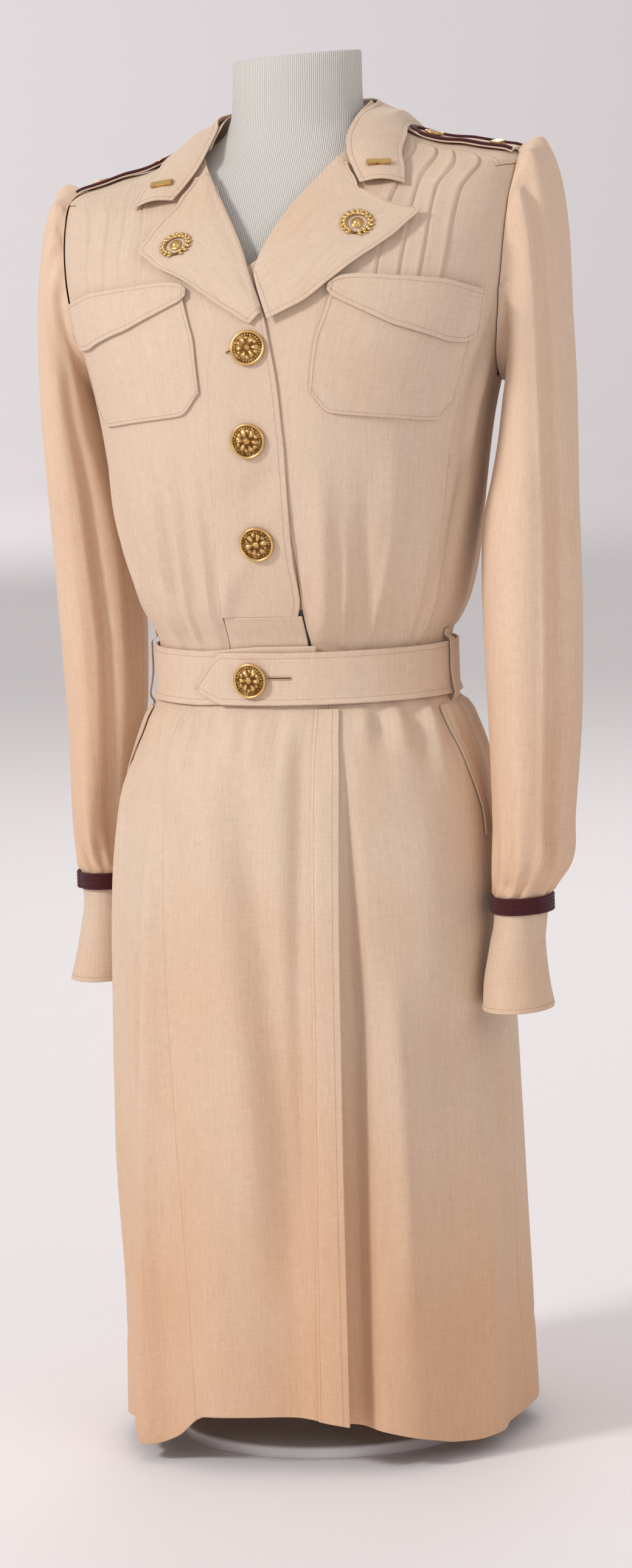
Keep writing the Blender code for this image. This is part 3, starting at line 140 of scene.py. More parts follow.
# Each lapel from the bottom up. Columns: roll line's x and height, outer edge's x and height, edge's lift
LAPEL_LEFT = [
    (0.0022, 0.9170, 0.0168, 0.8850, 0.0010),
    (0.0036, 0.9270, 0.0440, 0.8965, 0.0034),
    (0.0070, 0.9370, 0.0800, 0.9225, 0.0036),
    (0.0140, 0.9520, 0.1050, 0.9380, 0.0036),
    (0.0240, 0.9680, 0.1218, 0.9525, 0.0034),
    (0.0340, 0.9800, 0.0960, 0.9620, 0.0024),
    (0.0430, 0.9920, 0.0730, 0.9750, 0.0018),
    (0.0500, 1.0000, 0.0600, 0.9940, 0.0016),
]
LAPEL_RIGHT = [
    (0.0125, 0.8900, 0.0030, 0.8815, 0.0010),
    (0.0070, 0.9030, -0.0220, 0.8960, 0.0016),
    (-0.0010, 0.9190, -0.0510, 0.9140, 0.0024),
    (-0.0090, 0.9370, -0.0760, 0.9260, 0.0030),
    (-0.0190, 0.9540, -0.0930, 0.9390, 0.0034),
    (-0.0300, 0.9700, -0.0840, 0.9560, 0.0024),
    (-0.0410, 0.9860, -0.0690, 0.9730, 0.0018),
    (-0.0490, 0.9980, -0.0590, 0.9930, 0.0016),
]
# Collar leaf. Columns: inner edge's x, y and height (gorge, then roll), outer edge's angle and height
COLLAR_ROWS = [
    (0.0745, None, 0.9775, 33.0, 0.9740),
    (0.0665, None, 0.9885, 37.0, 0.9850),
    (0.0590, None, 1.0010, 44.0, 0.9970),
    (0.0560, -0.0300, 1.0170, 58.0, 1.0080),
    (0.0570, 0.0000, 1.0320, 74.0, 1.0150),
    (0.0585, 0.0300, 1.0410, 90.0, 1.0170),
    (0.0540, 0.0560, 1.0440, 110.0, 1.0130),
    (0.0400, 0.0760, 1.0450, 135.0, 1.0020),
    (0.0210, 0.0850, 1.0460, 158.0, 0.9900),
    (0.0000, 0.0880, 1.0460, 180.0, 0.9860),
]

# Sleeves from shoulder to braid. Columns: outer point's x and height, inner point's, half depth, its centre
SLEEVE_LEFT = [
    (0.1940, 0.9880, 0.1700, 0.8250, 0.0640, 0.031), (0.2040, 0.9700, 0.1670, 0.8100, 0.0650, 0.029),
    (0.2110, 0.9380, 0.1630, 0.7920, 0.0640, 0.025), (0.2145, 0.8880, 0.1600, 0.7720, 0.0610, 0.018),
    (0.2190, 0.8240, 0.1560, 0.7500, 0.0570, 0.008), (0.2220, 0.7450, 0.1510, 0.7150, 0.0530, -0.006),
    (0.2240, 0.6560, 0.1510, 0.6500, 0.0510, -0.013), (0.2220, 0.5700, 0.1540, 0.5700, 0.0490, -0.018),
    (0.2170, 0.4960, 0.1570, 0.4960, 0.0450, -0.027), (0.2160, 0.4620, 0.1575, 0.4620, 0.0410, -0.034),
    (0.2040, 0.4420, 0.1580, 0.4420, 0.0330, -0.038), (0.1972, 0.4335, 0.1592, 0.4335, 0.0285, -0.040),
]
SLEEVE_RIGHT = [
    (0.1940, 0.9860, 0.1700, 0.8250, 0.0640, 0.031), (0.2040, 0.9660, 0.1670, 0.8100, 0.0640, 0.031),
    (0.2110, 0.9320, 0.1630, 0.7920, 0.0620, 0.031), (0.2150, 0.8850, 0.1600, 0.7720, 0.0600, 0.031),
    (0.2165, 0.8220, 0.1560, 0.7500, 0.0570, 0.032), (0.2145, 0.7450, 0.1510, 0.7150, 0.0540, 0.034),
    (0.2100, 0.6560, 0.1470, 0.6500, 0.0520, 0.036), (0.2055, 0.5700, 0.1490, 0.5700, 0.0490, 0.034),
    (0.2030, 0.5000, 0.1580, 0.5000, 0.0450, 0.030), (0.2010, 0.4720, 0.1585, 0.4720, 0.0400, 0.027),
    (0.1980, 0.4530, 0.1585, 0.4530, 0.0330, 0.023), (0.1955, 0.4435, 0.1575, 0.4435, 0.0285, 0.020),
]
# The sleeve's long pressed-in fold. Columns: row of the sleeve's table, turn (0 the outer side, 90 the front)
SLEEVE_FOLD_LEFT = [(0, 48.0), (4, 49.0), (9, 48.0), (11, 43.0)]
SLEEVE_FOLD_RIGHT = [(0, 80.0), (4, 110.0), (7, 119.0), (9, 125.0), (11, 125.0)]
# Cuffs from the braid down. Columns: height, half width, half depth, x and y of the centre
CUFF_LEFT = [
    (0.4331, 0.0175, 0.0270, 0.1782, -0.040),
    (0.4120, 0.0168, 0.0262, 0.1765, -0.043),
    (0.3980, 0.0176, 0.0270, 0.1752, -0.047),
    (0.3720, 0.0212, 0.0305, 0.1752, -0.054), (0.3490, 0.0240, 0.0345, 0.1775, -0.060),
]
CUFF_RIGHT = [
    (0.4431, 0.0175, 0.0270, 0.1765, 0.020),
    (0.4220, 0.0168, 0.0262, 0.1760, 0.019),
    (0.4080, 0.0174, 0.0265, 0.1765, 0.018),
    (0.3820, 0.0200, 0.0295, 0.1785, 0.016), (0.3580, 0.0224, 0.0330, 0.1815, 0.014),
]

# Skirt folds. Columns: angle at the hem, half width in degrees, height outward, height where it starts
SKIRT_FOLDS = [
    (-172, 9, 0.0050, 0.50), (-156, 8, -0.0080, 0.48), (-138, 10, 0.0060, 0.50), (-118, 9, -0.0080, 0.46),
    (-98, 8, 0.0020, 0.40), (-79, 7, -0.0040, 0.44), (-62, 8, -0.0110, 0.46), (-41, 7, 0.0065, 0.52),
    (-29, 5, -0.0040, 0.50), (-14, 8, 0.0050, 0.54), (4, 7, -0.0100, 0.52), (38, 8, 0.0060, 0.54),
    (55, 7, -0.0060, 0.46), (70, 7, 0.0030, 0.44), (84, 6, -0.0050, 0.42), (103, 8, 0.0030, 0.42),
    (121, 9, -0.0090, 0.48), (141, 9, 0.0060, 0.50), (160, 8, -0.0070, 0.46),
]
# The hem. Columns: angle, height
HEM_ROWS = [
    (-180, 0.030), (-130, 0.026), (-85, 0.020), (-60, 0.018),
    (-42, 0.013), (-34, 0.015), (-26, 0.026), (-16, 0.042),
    (0, 0.043), (20, 0.036), (42, 0.022), (60, 0.013), (85, 0.016), (120, 0.022), (150, 0.028), (180, 0.030),
]
# Columns: height, then x of the right gore seam, the strip's seam, the strip's free edge and the recess's end
SEAM_ROWS = [
    (0.000, -0.0620, 0.0350, 0.0590, 0.0790),
    (0.126, -0.0700, 0.0350, 0.0580, 0.0785),
    (0.241, -0.0800, 0.0355, 0.0570, 0.0780),
    (0.329, -0.0850, 0.0358, 0.0565, 0.0775),
    (0.425, -0.0880, 0.0355, 0.0560, 0.0730),
    (0.522, -0.0870, 0.0345, 0.0550, 0.0650),
    (0.609, -0.0700, 0.0330, 0.0480, 0.0560),
]
def crisp_tucks(cuts):
    """The front's cuts with a sharp step beside the fold of each shoulder tuck."""
    fine = []
    for label, low, mid, high, tuck in cuts:
        if "drop" not in label:
            fine.append((label, low, mid, high, tuck))
            continue
        fine.append((label, low - 0.0004, mid - 0.0005, high - 0.0005, -0.9))
        fine.append((label.replace("drop", "end"), low + 0.0008, mid + 0.0012, high + 0.0012, 0.0))
    return fine


FRONT_CUTS = crisp_tucks(FRONT_CUTS)

# Creases on the dress. Columns: path of (angle, height) stops, width, height out, fade at the start and the end
BODICE_CREASES = [
    (((26.8, 0.632), (27.3, 0.682), (26.1, 0.742)), 0.0034, 0.0016, 0.05, 0.75),
    (((37.0, 0.632), (41.1, 0.695), (43.4, 0.738)), 0.0036, 0.0017, 0.05, 0.75),
    (((55.4, 0.632), (56.8, 0.687), (61.3, 0.750)), 0.0036, 0.0017, 0.05, 0.75),
    (((62.0, 0.632), (66.3, 0.685), (71.2, 0.735)), 0.0034, 0.0014, 0.05, 0.75),
    (((19.5, 0.632), (19.5, 0.711), (17.2, 0.790)), 0.0085, 0.0026, 0.10, 0.55),
    (((32.2, 0.632), (33.1, 0.709), (32.2, 0.780)), 0.0075, -0.0020, 0.10, 0.60),
    (((49.2, 0.632), (48.9, 0.698), (52.3, 0.765)), 0.0070, -0.0018, 0.10, 0.60),
    (((39.7, 0.800), (42.8, 0.755), (41.5, 0.700)), 0.0130, 0.0016, 0.40, 0.50),
    (((76.6, 0.790), (71.9, 0.722), (66.8, 0.655)), 0.0090, -0.0022, 0.40, 0.30),
    (((70.1, 0.890), (65.4, 0.844), (65.3, 0.780)), 0.0100, 0.0018, 0.30, 0.50),
    (((80.0, 0.860), (76.0, 0.800), (78.0, 0.740)), 0.0080, 0.0020, 0.30, 0.50),
    (((36.8, 0.993), (24.4, 0.958), (22.0, 0.928)), 0.0060, 0.0009, 0.20, 0.50),
    (((-31.3, 0.632), (-27.4, 0.692), (-26.8, 0.765)), 0.0034, 0.0016, 0.05, 0.75),
    (((-42.1, 0.632), (-43.0, 0.677), (-51.7, 0.755)), 0.0038, 0.0017, 0.05, 0.70),
    (((-20.7, 0.632), (-16.2, 0.693), (-15.6, 0.755)), 0.0036, 0.0015, 0.05, 0.70),
    (((-14.1, 0.650), (-9.8, 0.693), (-10.6, 0.745)), 0.0050, 0.0013, 0.20, 0.60),
    (((-38.2, 0.640), (-35.0, 0.711), (-32.7, 0.770)), 0.0080, 0.0021, 0.15, 0.55),
    (((-19.0, 0.650), (-17.5, 0.722), (-16.7, 0.790)), 0.0080, 0.0017, 0.20, 0.50),
    (((-34.7, 0.650), (-30.5, 0.721), (-29.0, 0.785)), 0.0065, -0.0017, 0.20, 0.50),
    (((-24.0, 0.650), (-21.8, 0.731), (-21.0, 0.805)), 0.0065, -0.0016, 0.20, 0.50),
    (((-52.0, 0.650), (-60.7, 0.727), (-60.0, 0.800)), 0.0085, 0.0022, 0.20, 0.50),
    (((-47.5, 0.645), (-53.0, 0.700), (-56.0, 0.770)), 0.0060, -0.0018, 0.20, 0.50),
    (((-12.6, 0.660), (-6.2, 0.693), (0.5, 0.708)), 0.0080, 0.0013, 0.30, 0.40),
    (((5.0, 0.780), (1.5, 0.757), (-4.0, 0.735)), 0.0120, -0.0018, 0.40, 0.50),
    (((-56.0, 0.980), (-48.7, 0.939), (-47.7, 0.905)), 0.0060, 0.0010, 0.20, 0.40),
    (((-34.0, 0.985), (-31.0, 0.950), (-31.0, 0.915)), 0.0060, 0.0009, 0.20, 0.40),
    (((112.0, 0.632), (110.0, 0.690), (106.0, 0.760)), 0.0070, 0.0022, 0.10, 0.60),
    (((126.0, 0.632), (127.0, 0.700), (124.0, 0.775)), 0.0055, 0.0020, 0.08, 0.65),
    (((139.0, 0.632), (141.0, 0.690), (143.0, 0.745)), 0.0060, 0.0018, 0.08, 0.65),
    (((152.0, 0.632), (153.0, 0.705), (150.0, 0.790)), 0.0060, 0.0021, 0.08, 0.65),
    (((167.0, 0.632), (168.0, 0.690), (171.0, 0.755)), 0.0065, 0.0017, 0.08, 0.65),
    (((182.0, 0.632), (181.0, 0.700), (184.0, 0.770)), 0.0060, 0.0019, 0.08, 0.65),
    (((196.0, 0.632), (194.0, 0.690), (191.0, 0.740)), 0.0060, 0.0018, 0.08, 0.65),
    (((209.0, 0.632), (208.0, 0.700), (211.0, 0.785)), 0.0060, 0.0021, 0.08, 0.65),
    (((222.0, 0.632), (220.0, 0.690), (217.0, 0.750)), 0.0055, 0.0017, 0.08, 0.65),
    (((236.0, 0.632), (235.0, 0.700), (239.0, 0.770)), 0.0060, 0.0021, 0.08, 0.60),
    (((249.0, 0.632), (252.0, 0.690), (256.0, 0.755)), 0.0070, 0.0021, 0.10, 0.60),
    (((119.0, 0.940), (140.0, 0.900), (160.0, 0.880)), 0.0130, 0.0018, 0.30, 0.50),
    (((241.0, 0.935), (222.0, 0.893), (205.0, 0.878)), 0.0130, 0.0018, 0.30, 0.50),
    (((112.0, 0.850), (128.0, 0.820), (146.0, 0.812)), 0.0110, -0.0015, 0.30, 0.50),
    (((246.0, 0.852), (233.0, 0.826), (214.0, 0.815)), 0.0110, -0.0015, 0.30, 0.50),
]
SKIRT_CREASES = [
    (((-42.0, 0.560), (-39.6, 0.427), (-39.6, 0.285), (-39.7, 0.142), (-39.3, 0.010)), 0.0110, 0.0040, 0.30, 0.02),
    (((-51.0, 0.480), (-48.2, 0.330), (-47.5, 0.160), (-46.5, 0.010)), 0.0100, -0.0042, 0.35, 0.02),
    (((-24.6, 0.578), (-14.0, 0.455), (-5.0, 0.292), (-2.0, 0.152)), 0.0170, 0.0030, 0.25, 0.35),
    (((-9.0, 0.547), (-1.5, 0.409), (2.0, 0.269), (3.0, 0.100)), 0.0130, -0.0032, 0.25, 0.20),
    (((-40.4, 0.584), (-33.0, 0.522), (-32.0, 0.450)), 0.0090, 0.0022, 0.10, 0.60),
    (((10.4, 0.578), (9.0, 0.478), (7.4, 0.339), (7.0, 0.120)), 0.0085, -0.0040, 0.15, 0.20),
    (((-52.7, 0.586), (-47.0, 0.571), (-45.5, 0.530)), 0.0055, 0.0024, 0.05, 0.70),
    (((-31.0, 0.586), (-30.9, 0.561), (-29.8, 0.515)), 0.0065, 0.0026, 0.05, 0.70),
    (((-22.6, 0.586), (-20.9, 0.565), (-19.0, 0.525)), 0.0050, -0.0018, 0.05, 0.70),
    (((-37.0, 0.586), (-36.5, 0.565), (-35.0, 0.535)), 0.0045, -0.0018, 0.05, 0.70),
    (((-13.5, 0.586), (-12.5, 0.562), (-12.0, 0.530)), 0.0055, 0.0018, 0.05, 0.70),
    (((-6.0, 0.586), (-5.1, 0.556), (-2.3, 0.515)), 0.0070, 0.0017, 0.05, 0.70),
    (((2.6, 0.586), (2.4, 0.556), (2.5, 0.525)), 0.0050, -0.0016, 0.05, 0.70),
    (((33.1, 0.586), (32.8, 0.568), (31.9, 0.530)), 0.0055, 0.0021, 0.05, 0.70),
    (((39.5, 0.586), (40.0, 0.570), (40.0, 0.545)), 0.0045, -0.0022, 0.05, 0.70),
    (((46.1, 0.586), (46.7, 0.572), (48.2, 0.540)), 0.0060, 0.0026, 0.05, 0.70),
    (((54.0, 0.586), (54.9, 0.564), (55.4, 0.525)), 0.0050, -0.0022, 0.05, 0.70),
    (((62.0, 0.586), (62.3, 0.563), (61.7, 0.505)), 0.0060, 0.0025, 0.05, 0.70),
    (((70.5, 0.586), (71.0, 0.563), (72.0, 0.520)), 0.0050, -0.0020, 0.05, 0.70),
    (((79.0, 0.586), (82.0, 0.563), (84.0, 0.515)), 0.0060, 0.0024, 0.05, 0.70),
    (((34.5, 0.402), (35.5, 0.314), (36.0, 0.220), (36.0, 0.090)), 0.0100, 0.0030, 0.35, 0.25),
    (((56.0, 0.370), (53.2, 0.303), (49.8, 0.240)), 0.0140, -0.0028, 0.40, 0.50),
    (((50.0, 0.525), (50.3, 0.426), (52.7, 0.320)), 0.0220, 0.0022, 0.35, 0.50),
    (((75.7, 0.425), (80.3, 0.321), (84.6, 0.220), (88.4, 0.070)), 0.0120, -0.0032, 0.35, 0.20),
    (((66.0, 0.300), (67.0, 0.200), (67.5, 0.060)), 0.0120, 0.0028, 0.40, 0.15),
    (((-68.0, 0.560), (-70.0, 0.480), (-71.0, 0.330), (-72.0, 0.100)), 0.0120, 0.0034, 0.25, 0.20),
    (((-86.0, 0.540), (-87.0, 0.420), (-88.0, 0.250)), 0.0110, -0.0030, 0.30, 0.40),
    (((100.0, 0.586), (101.0, 0.540), (103.0, 0.470)), 0.0070, 0.0026, 0.05, 0.65),
    (((113.0, 0.586), (115.0, 0.550), (116.0, 0.500)), 0.0060, -0.0022, 0.05, 0.65),
    (((127.0, 0.586), (129.0, 0.530), (131.0, 0.440)), 0.0080, 0.0028, 0.05, 0.65),
    (((143.0, 0.586), (144.0, 0.555), (146.0, 0.510)), 0.0060, -0.0020, 0.05, 0.65),
    (((157.0, 0.586), (158.0, 0.540), (160.0, 0.460)), 0.0075, 0.0026, 0.05, 0.65),
    (((171.0, 0.586), (172.0, 0.555), (172.0, 0.520)), 0.0060, 0.0020, 0.05, 0.65),
    (((186.0, 0.586), (187.0, 0.545), (189.0, 0.470)), 0.0070, 0.0025, 0.05, 0.65),
    (((199.0, 0.586), (200.0, 0.555), (200.0, 0.510)), 0.0060, -0.0022, 0.05, 0.65),
    (((213.0, 0.586), (212.0, 0.540), (211.0, 0.450)), 0.0080, 0.0028, 0.05, 0.65),
    (((228.0, 0.586), (227.0, 0.550), (225.0, 0.500)), 0.0060, -0.0021, 0.05, 0.65),
    (((243.0, 0.586), (243.0, 0.545), (241.0, 0.480)), 0.0070, 0.0025, 0.05, 0.65),
    (((257.0, 0.586), (257.0, 0.540), (258.0, 0.460)), 0.0070, 0.0024, 0.05, 0.65),
    (((134.0, 0.420), (136.0, 0.280), (137.0, 0.080)), 0.0150, 0.0030, 0.35, 0.15),
    (((222.0, 0.430), (221.0, 0.290), (222.0, 0.080)), 0.0150, 0.0030, 0.35, 0.15),
]
# Creases on the sleeves: a path of (turn, level) stops; turn 0 is the outer side and 90 the front, levels are the table's rows
SLEEVE_CREASES_LEFT = [
    (((52, 0.2), (56, 1.6), (57, 4.0), (58, 7.0), (58, 9.0), (50, 11.2)), 0.0042, 0.0022, 0.06, 0.10),
    (((43, 0.3), (46, 1.8), (47, 4.0), (47, 7.0), (47, 9.0), (42, 10.8)), 0.0062, -0.0050, 0.08, 0.12),
    (((20, 0.6), (18, 2.5), (18, 5.0), (20, 8.0), (24, 10.5)), 0.0110, 0.0026, 0.20, 0.25),
    (((-6, 0.8), (-9, 3.0), (-10, 6.0), (-6, 9.5)), 0.0070, -0.0026, 0.20, 0.30),
    (((92, 0.2), (100, 1.5), (106, 3.2)), 0.0060, 0.0024, 0.08, 0.60),
    (((78, 0.2), (82, 1.6), (84, 3.0)), 0.0060, -0.0022, 0.10, 0.60),
    (((112, 0.4), (124, 2.0), (130, 4.0)), 0.0080, -0.0024, 0.20, 0.50),
    (((88, 5.5), (92, 7.5), (94, 9.5), (90, 11.0)), 0.0090, 0.0020, 0.35, 0.15),
    (((106, 8.0), (108, 9.5), (108, 11.2)), 0.0060, -0.0020, 0.40, 0.08),
    (((30, 0.2), (29, 1.2), (28, 2.2)), 0.0034, 0.0020, 0.05, 0.60),
    (((10, 0.2), (8, 1.2), (6, 2.4)), 0.0036, 0.0022, 0.05, 0.60),
    (((-12, 0.2), (-15, 1.1), (-18, 2.2)), 0.0036, 0.0020, 0.05, 0.60),
    (((-32, 0.2), (-37, 1.2), (-42, 2.4)), 0.0040, 0.0020, 0.05, 0.60),
    (((-60, 0.4), (-70, 3.0), (-75, 6.0), (-72, 9.0)), 0.0100, 0.0026, 0.20, 0.30),
    (((-95, 1.0), (-100, 4.0), (-102, 8.0)), 0.0110, -0.0030, 0.30, 0.30),
]
SLEEVE_CREASES_RIGHT = [
    (((70, 0.2), (85, 1.8), (100, 4.0), (110, 7.0), (116, 9.0), (118, 11.2)), 0.0046, 0.0022, 0.06, 0.10),
    (((82, 0.4), (97, 2.0), (112, 4.0), (121, 7.0), (127, 9.0), (127, 11.0)), 0.0066, -0.0046, 0.10, 0.12),
    (((138, 2.5), (142, 5.0), (145, 8.0), (142, 10.5)), 0.0060, 0.0026, 0.25, 0.20),
    (((150, 3.0), (155, 6.0), (157, 9.0)), 0.0060, -0.0026, 0.30, 0.30),
    (((46, 0.3), (52, 2.0), (58, 4.5), (62, 8.0)), 0.0100, 0.0024, 0.20, 0.30),
    (((20, 0.3), (24, 2.0), (28, 4.5), (30, 7.5)), 0.0080, -0.0022, 0.20, 0.35),
    (((-4, 0.3), (-6, 2.0), (-8, 5.0), (-5, 9.0)), 0.0090, 0.0022, 0.20, 0.30),
    (((34, 0.2), (36, 1.1), (38, 2.0)), 0.0036, 0.0019, 0.05, 0.60),
    (((8, 0.2), (8, 1.2), (10, 2.2)), 0.0036, 0.0020, 0.05, 0.60),
    (((58, 0.2), (63, 1.2), (67, 2.2)), 0.0036, 0.0018, 0.05, 0.60),
    (((-22, 0.2), (-27, 1.2), (-32, 2.4)), 0.0040, 0.0020, 0.05, 0.60),
    (((84, 6.0), (88, 8.0), (92, 10.8)), 0.0080, 0.0022, 0.35, 0.12),
    (((-60, 0.6), (-68, 3.5), (-70, 8.0)), 0.0100, 0.0026, 0.20, 0.30),
    (((-95, 1.0), (-102, 4.5), (-98, 9.0)), 0.0110, -0.0030, 0.30, 0.30),
]
# Gathers at the wrist: turn, how far up they reach in levels, width and height
WRIST_GATHERS = [
    (4, 1.6, 0.0030, 0.0017), (18, 2.1, 0.0028, -0.0016), (31, 1.3, 0.0030, 0.0018), (70, 1.9, 0.0030, 0.0018), (80, 1.2, 0.0026, -0.0015),
    (99, 1.5, 0.0028, 0.0016), (131, 2.0, 0.0030, 0.0017), (146, 1.4, 0.0028, -0.0016), (160, 1.8, 0.0030, 0.0017), (182, 1.5, 0.0030, 0.0016),
    (203, 2.1, 0.0030, -0.0016), (221, 1.5, 0.0030, 0.0018), (239, 1.7, 0.0028, -0.0016), (258, 1.3, 0.0030, 0.0016), (279, 2.0, 0.0030, 0.0017),
    (297, 1.4, 0.0028, -0.0016), (316, 1.8, 0.0030, 0.0018), (338, 1.5, 0.0028, 0.0015),
]


# Curves and the dress's own surface

def smooth_column(places, values):
    """A monotone cubic through the rows of a table, as a function."""
    x, y = np.array(places, float), np.array(values, float)
    step, slope = np.diff(x), np.diff(y) / np.diff(x)
    tangent = np.zeros(len(x))
    for i in range(1, len(x) - 1):
        if slope[i - 1] * slope[i] > 0:
            first, second = 2 * step[i] + step[i - 1], step[i] + 2 * step[i - 1]
            tangent[i] = (first + second) / (first / slope[i - 1] + second / slope[i])
    tangent[0], tangent[-1] = slope[0], slope[-1]
    dense_x, dense_y = [], []
    for i in range(len(step)):
        t = np.linspace(0, 1, 25)
        dense_x.append(x[i] + t * step[i])
        dense_y.append((2 * t**3 - 3 * t**2 + 1) * y[i] + (t**3 - 2 * t**2 + t) * step[i] * tangent[i]
                       + (3 * t**2 - 2 * t**3) * y[i + 1] + (t**3 - t**2) * step[i] * tangent[i + 1])
    dense_x, dense_y = np.concatenate(dense_x), np.concatenate(dense_y)
    return lambda place: np.interp(place, dense_x, dense_y)


def column_of(rows, index):
    return smooth_column([row[0] for row in rows], [row[index] for row in rows])


half_width, front, back, centre, square = (column_of(FORM_ROWS, i) for i in range(1, 6))


def ramp(value, low, high):
    """0 below low, 1 above high, smooth between."""
    t = np.clip((value - low) / (high - low), 0.0, 1.0)
    return t * t * (3 - 2 * t)


def surface(angle, z, out=0.0):
    """The dress's outer surface at an angle (0 front, 90 the wearer's left), moved out by a distance."""
    angle, z, out = np.broadcast_arrays(np.radians(np.asarray(angle, float)), np.asarray(z, float), out)
    sine, cosine = np.sin(angle), np.cos(angle)
    power = 2 / square(z)
    depth = np.where(cosine > 0, centre(z) - front(z), back(z) - centre(z))
    x = half_width(z) * np.sign(sine) * np.abs(sine) ** power
    y = centre(z) - np.sign(cosine) * np.abs(cosine) ** power * depth
    point = np.stack([x, y, z], -1)
    return point + normal_at(point) * out[..., None]


def level(point):
    """Below 0 inside the dress's surface and above 0 outside it."""
    x, y, z = point[..., 0], point[..., 1], point[..., 2]
    power, middle = square(z), centre(z)
    depth = np.where(y < middle, middle - front(z), back(z) - middle)
    return ((np.abs(x) / half_width(z)) ** power + (np.abs(y - middle) / depth) ** power) ** (1 / power)


def normal_at(point):
    """The outward normal, by small differences."""
    slope = np.stack([(level(point + step) - level(point - step)) for step in np.eye(3) * 0.0008], -1)
    return slope / np.linalg.norm(slope, axis=-1, keepdims=True)


def angle_at(x, z):
    """The angle on the front half that gives this x."""
    share = np.clip(np.abs(x) / half_width(z), 0, 1) ** (square(z) / 2)
    return np.degrees(np.arcsin(share)) * np.sign(x)


def front_point(x, z, out=0.0):
    return surface(angle_at(x, z), z, out)


def side_angle(y, z):
    """The angle on the wearer's left side that gives this y."""
    depth = np.where(y < centre(z), centre(z) - front(z), back(z) - centre(z))
    share = np.clip(np.abs(y - centre(z)) / depth, 0, 1) ** (square(z) / 2)
    return np.where(y < centre(z), np.degrees(np.arccos(share)), 180 - np.degrees(np.arccos(share)))


def leaned(points):
    """The shoulders are square, and the wearer's left one stands a little higher than the right one."""
    points = np.array(points, float)
    x, z = points[..., 0], points[..., 2].copy()
    points[..., 2] += SHOULDER_LEAN * x * ramp(z, 0.87, 0.99)
    out = np.minimum(np.abs(x), SQUARE_TO) - SQUARE_FROM
    points[..., 2] += SHOULDER_SQUARE * out * ramp(out, 0.0, 0.035) * ramp(z, 0.90, 0.985)
    return points


# Fine grids from the coarse ones

def between(values, places, free=False):
    """Values along axis 0 at fractional places: a cubic that doesn't overshoot, or with free=True a rounder one."""
    values = np.asarray(values, float)
    slope = np.diff(values, axis=0)
    tangent = np.zeros_like(values)
    if free:
        tangent[1:-1] = (slope[:-1] + slope[1:]) / 2
    else:
        same = slope[:-1] * slope[1:] > 0
        total = np.where(same, slope[:-1] + slope[1:], 1.0)
        tangent[1:-1] = np.where(same, 2 * slope[:-1] * slope[1:] / total, 0.0)
    tangent[0], tangent[-1] = slope[0], slope[-1]
    index = np.clip(places.astype(int), 0, len(values) - 2)
    t = (places - index).reshape((-1,) + (1,) * (values.ndim - 1))
    return ((2 * t**3 - 3 * t**2 + 1) * values[index] + (t**3 - 2 * t**2 + t) * tangent[index]
            + (3 * t**2 - 2 * t**3) * values[index + 1] + (t**3 - t**2) * tangent[index + 1])


def stops(grid, step, closed=False):
    """Fractional places along axis 0 with no gap over the step, and one just inside each free edge."""
    gaps = np.linalg.norm(np.diff(grid, axis=0), axis=-1).max(axis=1)
    found = []
    for i, gap in enumerate(gaps):
        count = max(1, math.ceil(gap / step))
        found.extend(i + np.arange(count) / count)
    found.append(float(len(gaps)))
    if not closed:
        near, far = min(EDGE_STEP / gaps[0], 0.3), min(EDGE_STEP / gaps[-1], 0.3)
        found.extend([near, len(gaps) - far])
    return np.array(sorted(found))


def across(values, places, free=False):
    """The same along axis 1."""
    return np.swapaxes(between(np.swapaxes(values, 0, 1), places, free), 0, 1)


def refine(arrays, grid, step, free=False, around=False):
    """The arrays of a coarse grid on a fine one."""
    if around:
        arrays = [np.concatenate([a[:, -2:], a, a[:, :3]], 1) for a in arrays]
    down = stops(grid, step * CLOTH_TALL if step == CLOTH_STEP else step)
    over = stops(np.swapaxes(np.concatenate([grid, grid[:, :1]], 1) if around else grid, 0, 1), step, around)
    if around:
        over = over[:-1] + 2
    return [across(between(a, down, free), over, free) for a in arrays]


def smooth_noise(points, size, seed):
    """Soft waves of about one size in all directions, the same on each run."""
    draw = np.random.default_rng(seed)
    total = np.zeros(points.shape[:-1])
    for _ in range(7):
        wave = draw.normal(size=3)
        wave *= 2 * np.pi / size / np.linalg.norm(wave) * draw.uniform(0.6, 1.3)
        total += np.sin(points @ wave + draw.uniform(0, 6.3))
    return total / 7


def fold_height(points, folds):
    """Height of soft creases: each is a path of points, a width, a height and how fast its two ends fade."""
    total = np.zeros(points.shape[:-1])
    for path, width, height, fade_in, fade_out in folds:
        count = len(path) - 1
        nearest, where = np.full(points.shape[:-1], 1e9), np.zeros(points.shape[:-1])
        for i in range(count):
            run = path[i + 1] - path[i]
            t = np.clip(((points - path[i]) @ run) / (run @ run), 0, 1)
            away = np.linalg.norm(points - path[i] - t[..., None] * run, axis=-1)
            closer = away < nearest
            nearest = np.where(closer, away, nearest)
            where = np.where(closer, (i + t) / count, where)
        taper = ramp(where, -0.02, fade_in) * (1 - ramp(where, 1 - fade_out, 1.02))
        total += height * taper * np.exp(-(nearest / width) ** 2)
    return total


def path_on_dress(stops_on_path, pieces=8):
    """A crease's path on the dress, from a few stops of angle and height."""
    stops_on_path = np.array(stops_on_path, float)
    places = np.linspace(0, len(stops_on_path) - 1, pieces)
    fine = between(stops_on_path, places, free=True)
    return surface(fine[:, 0], fine[:, 1])


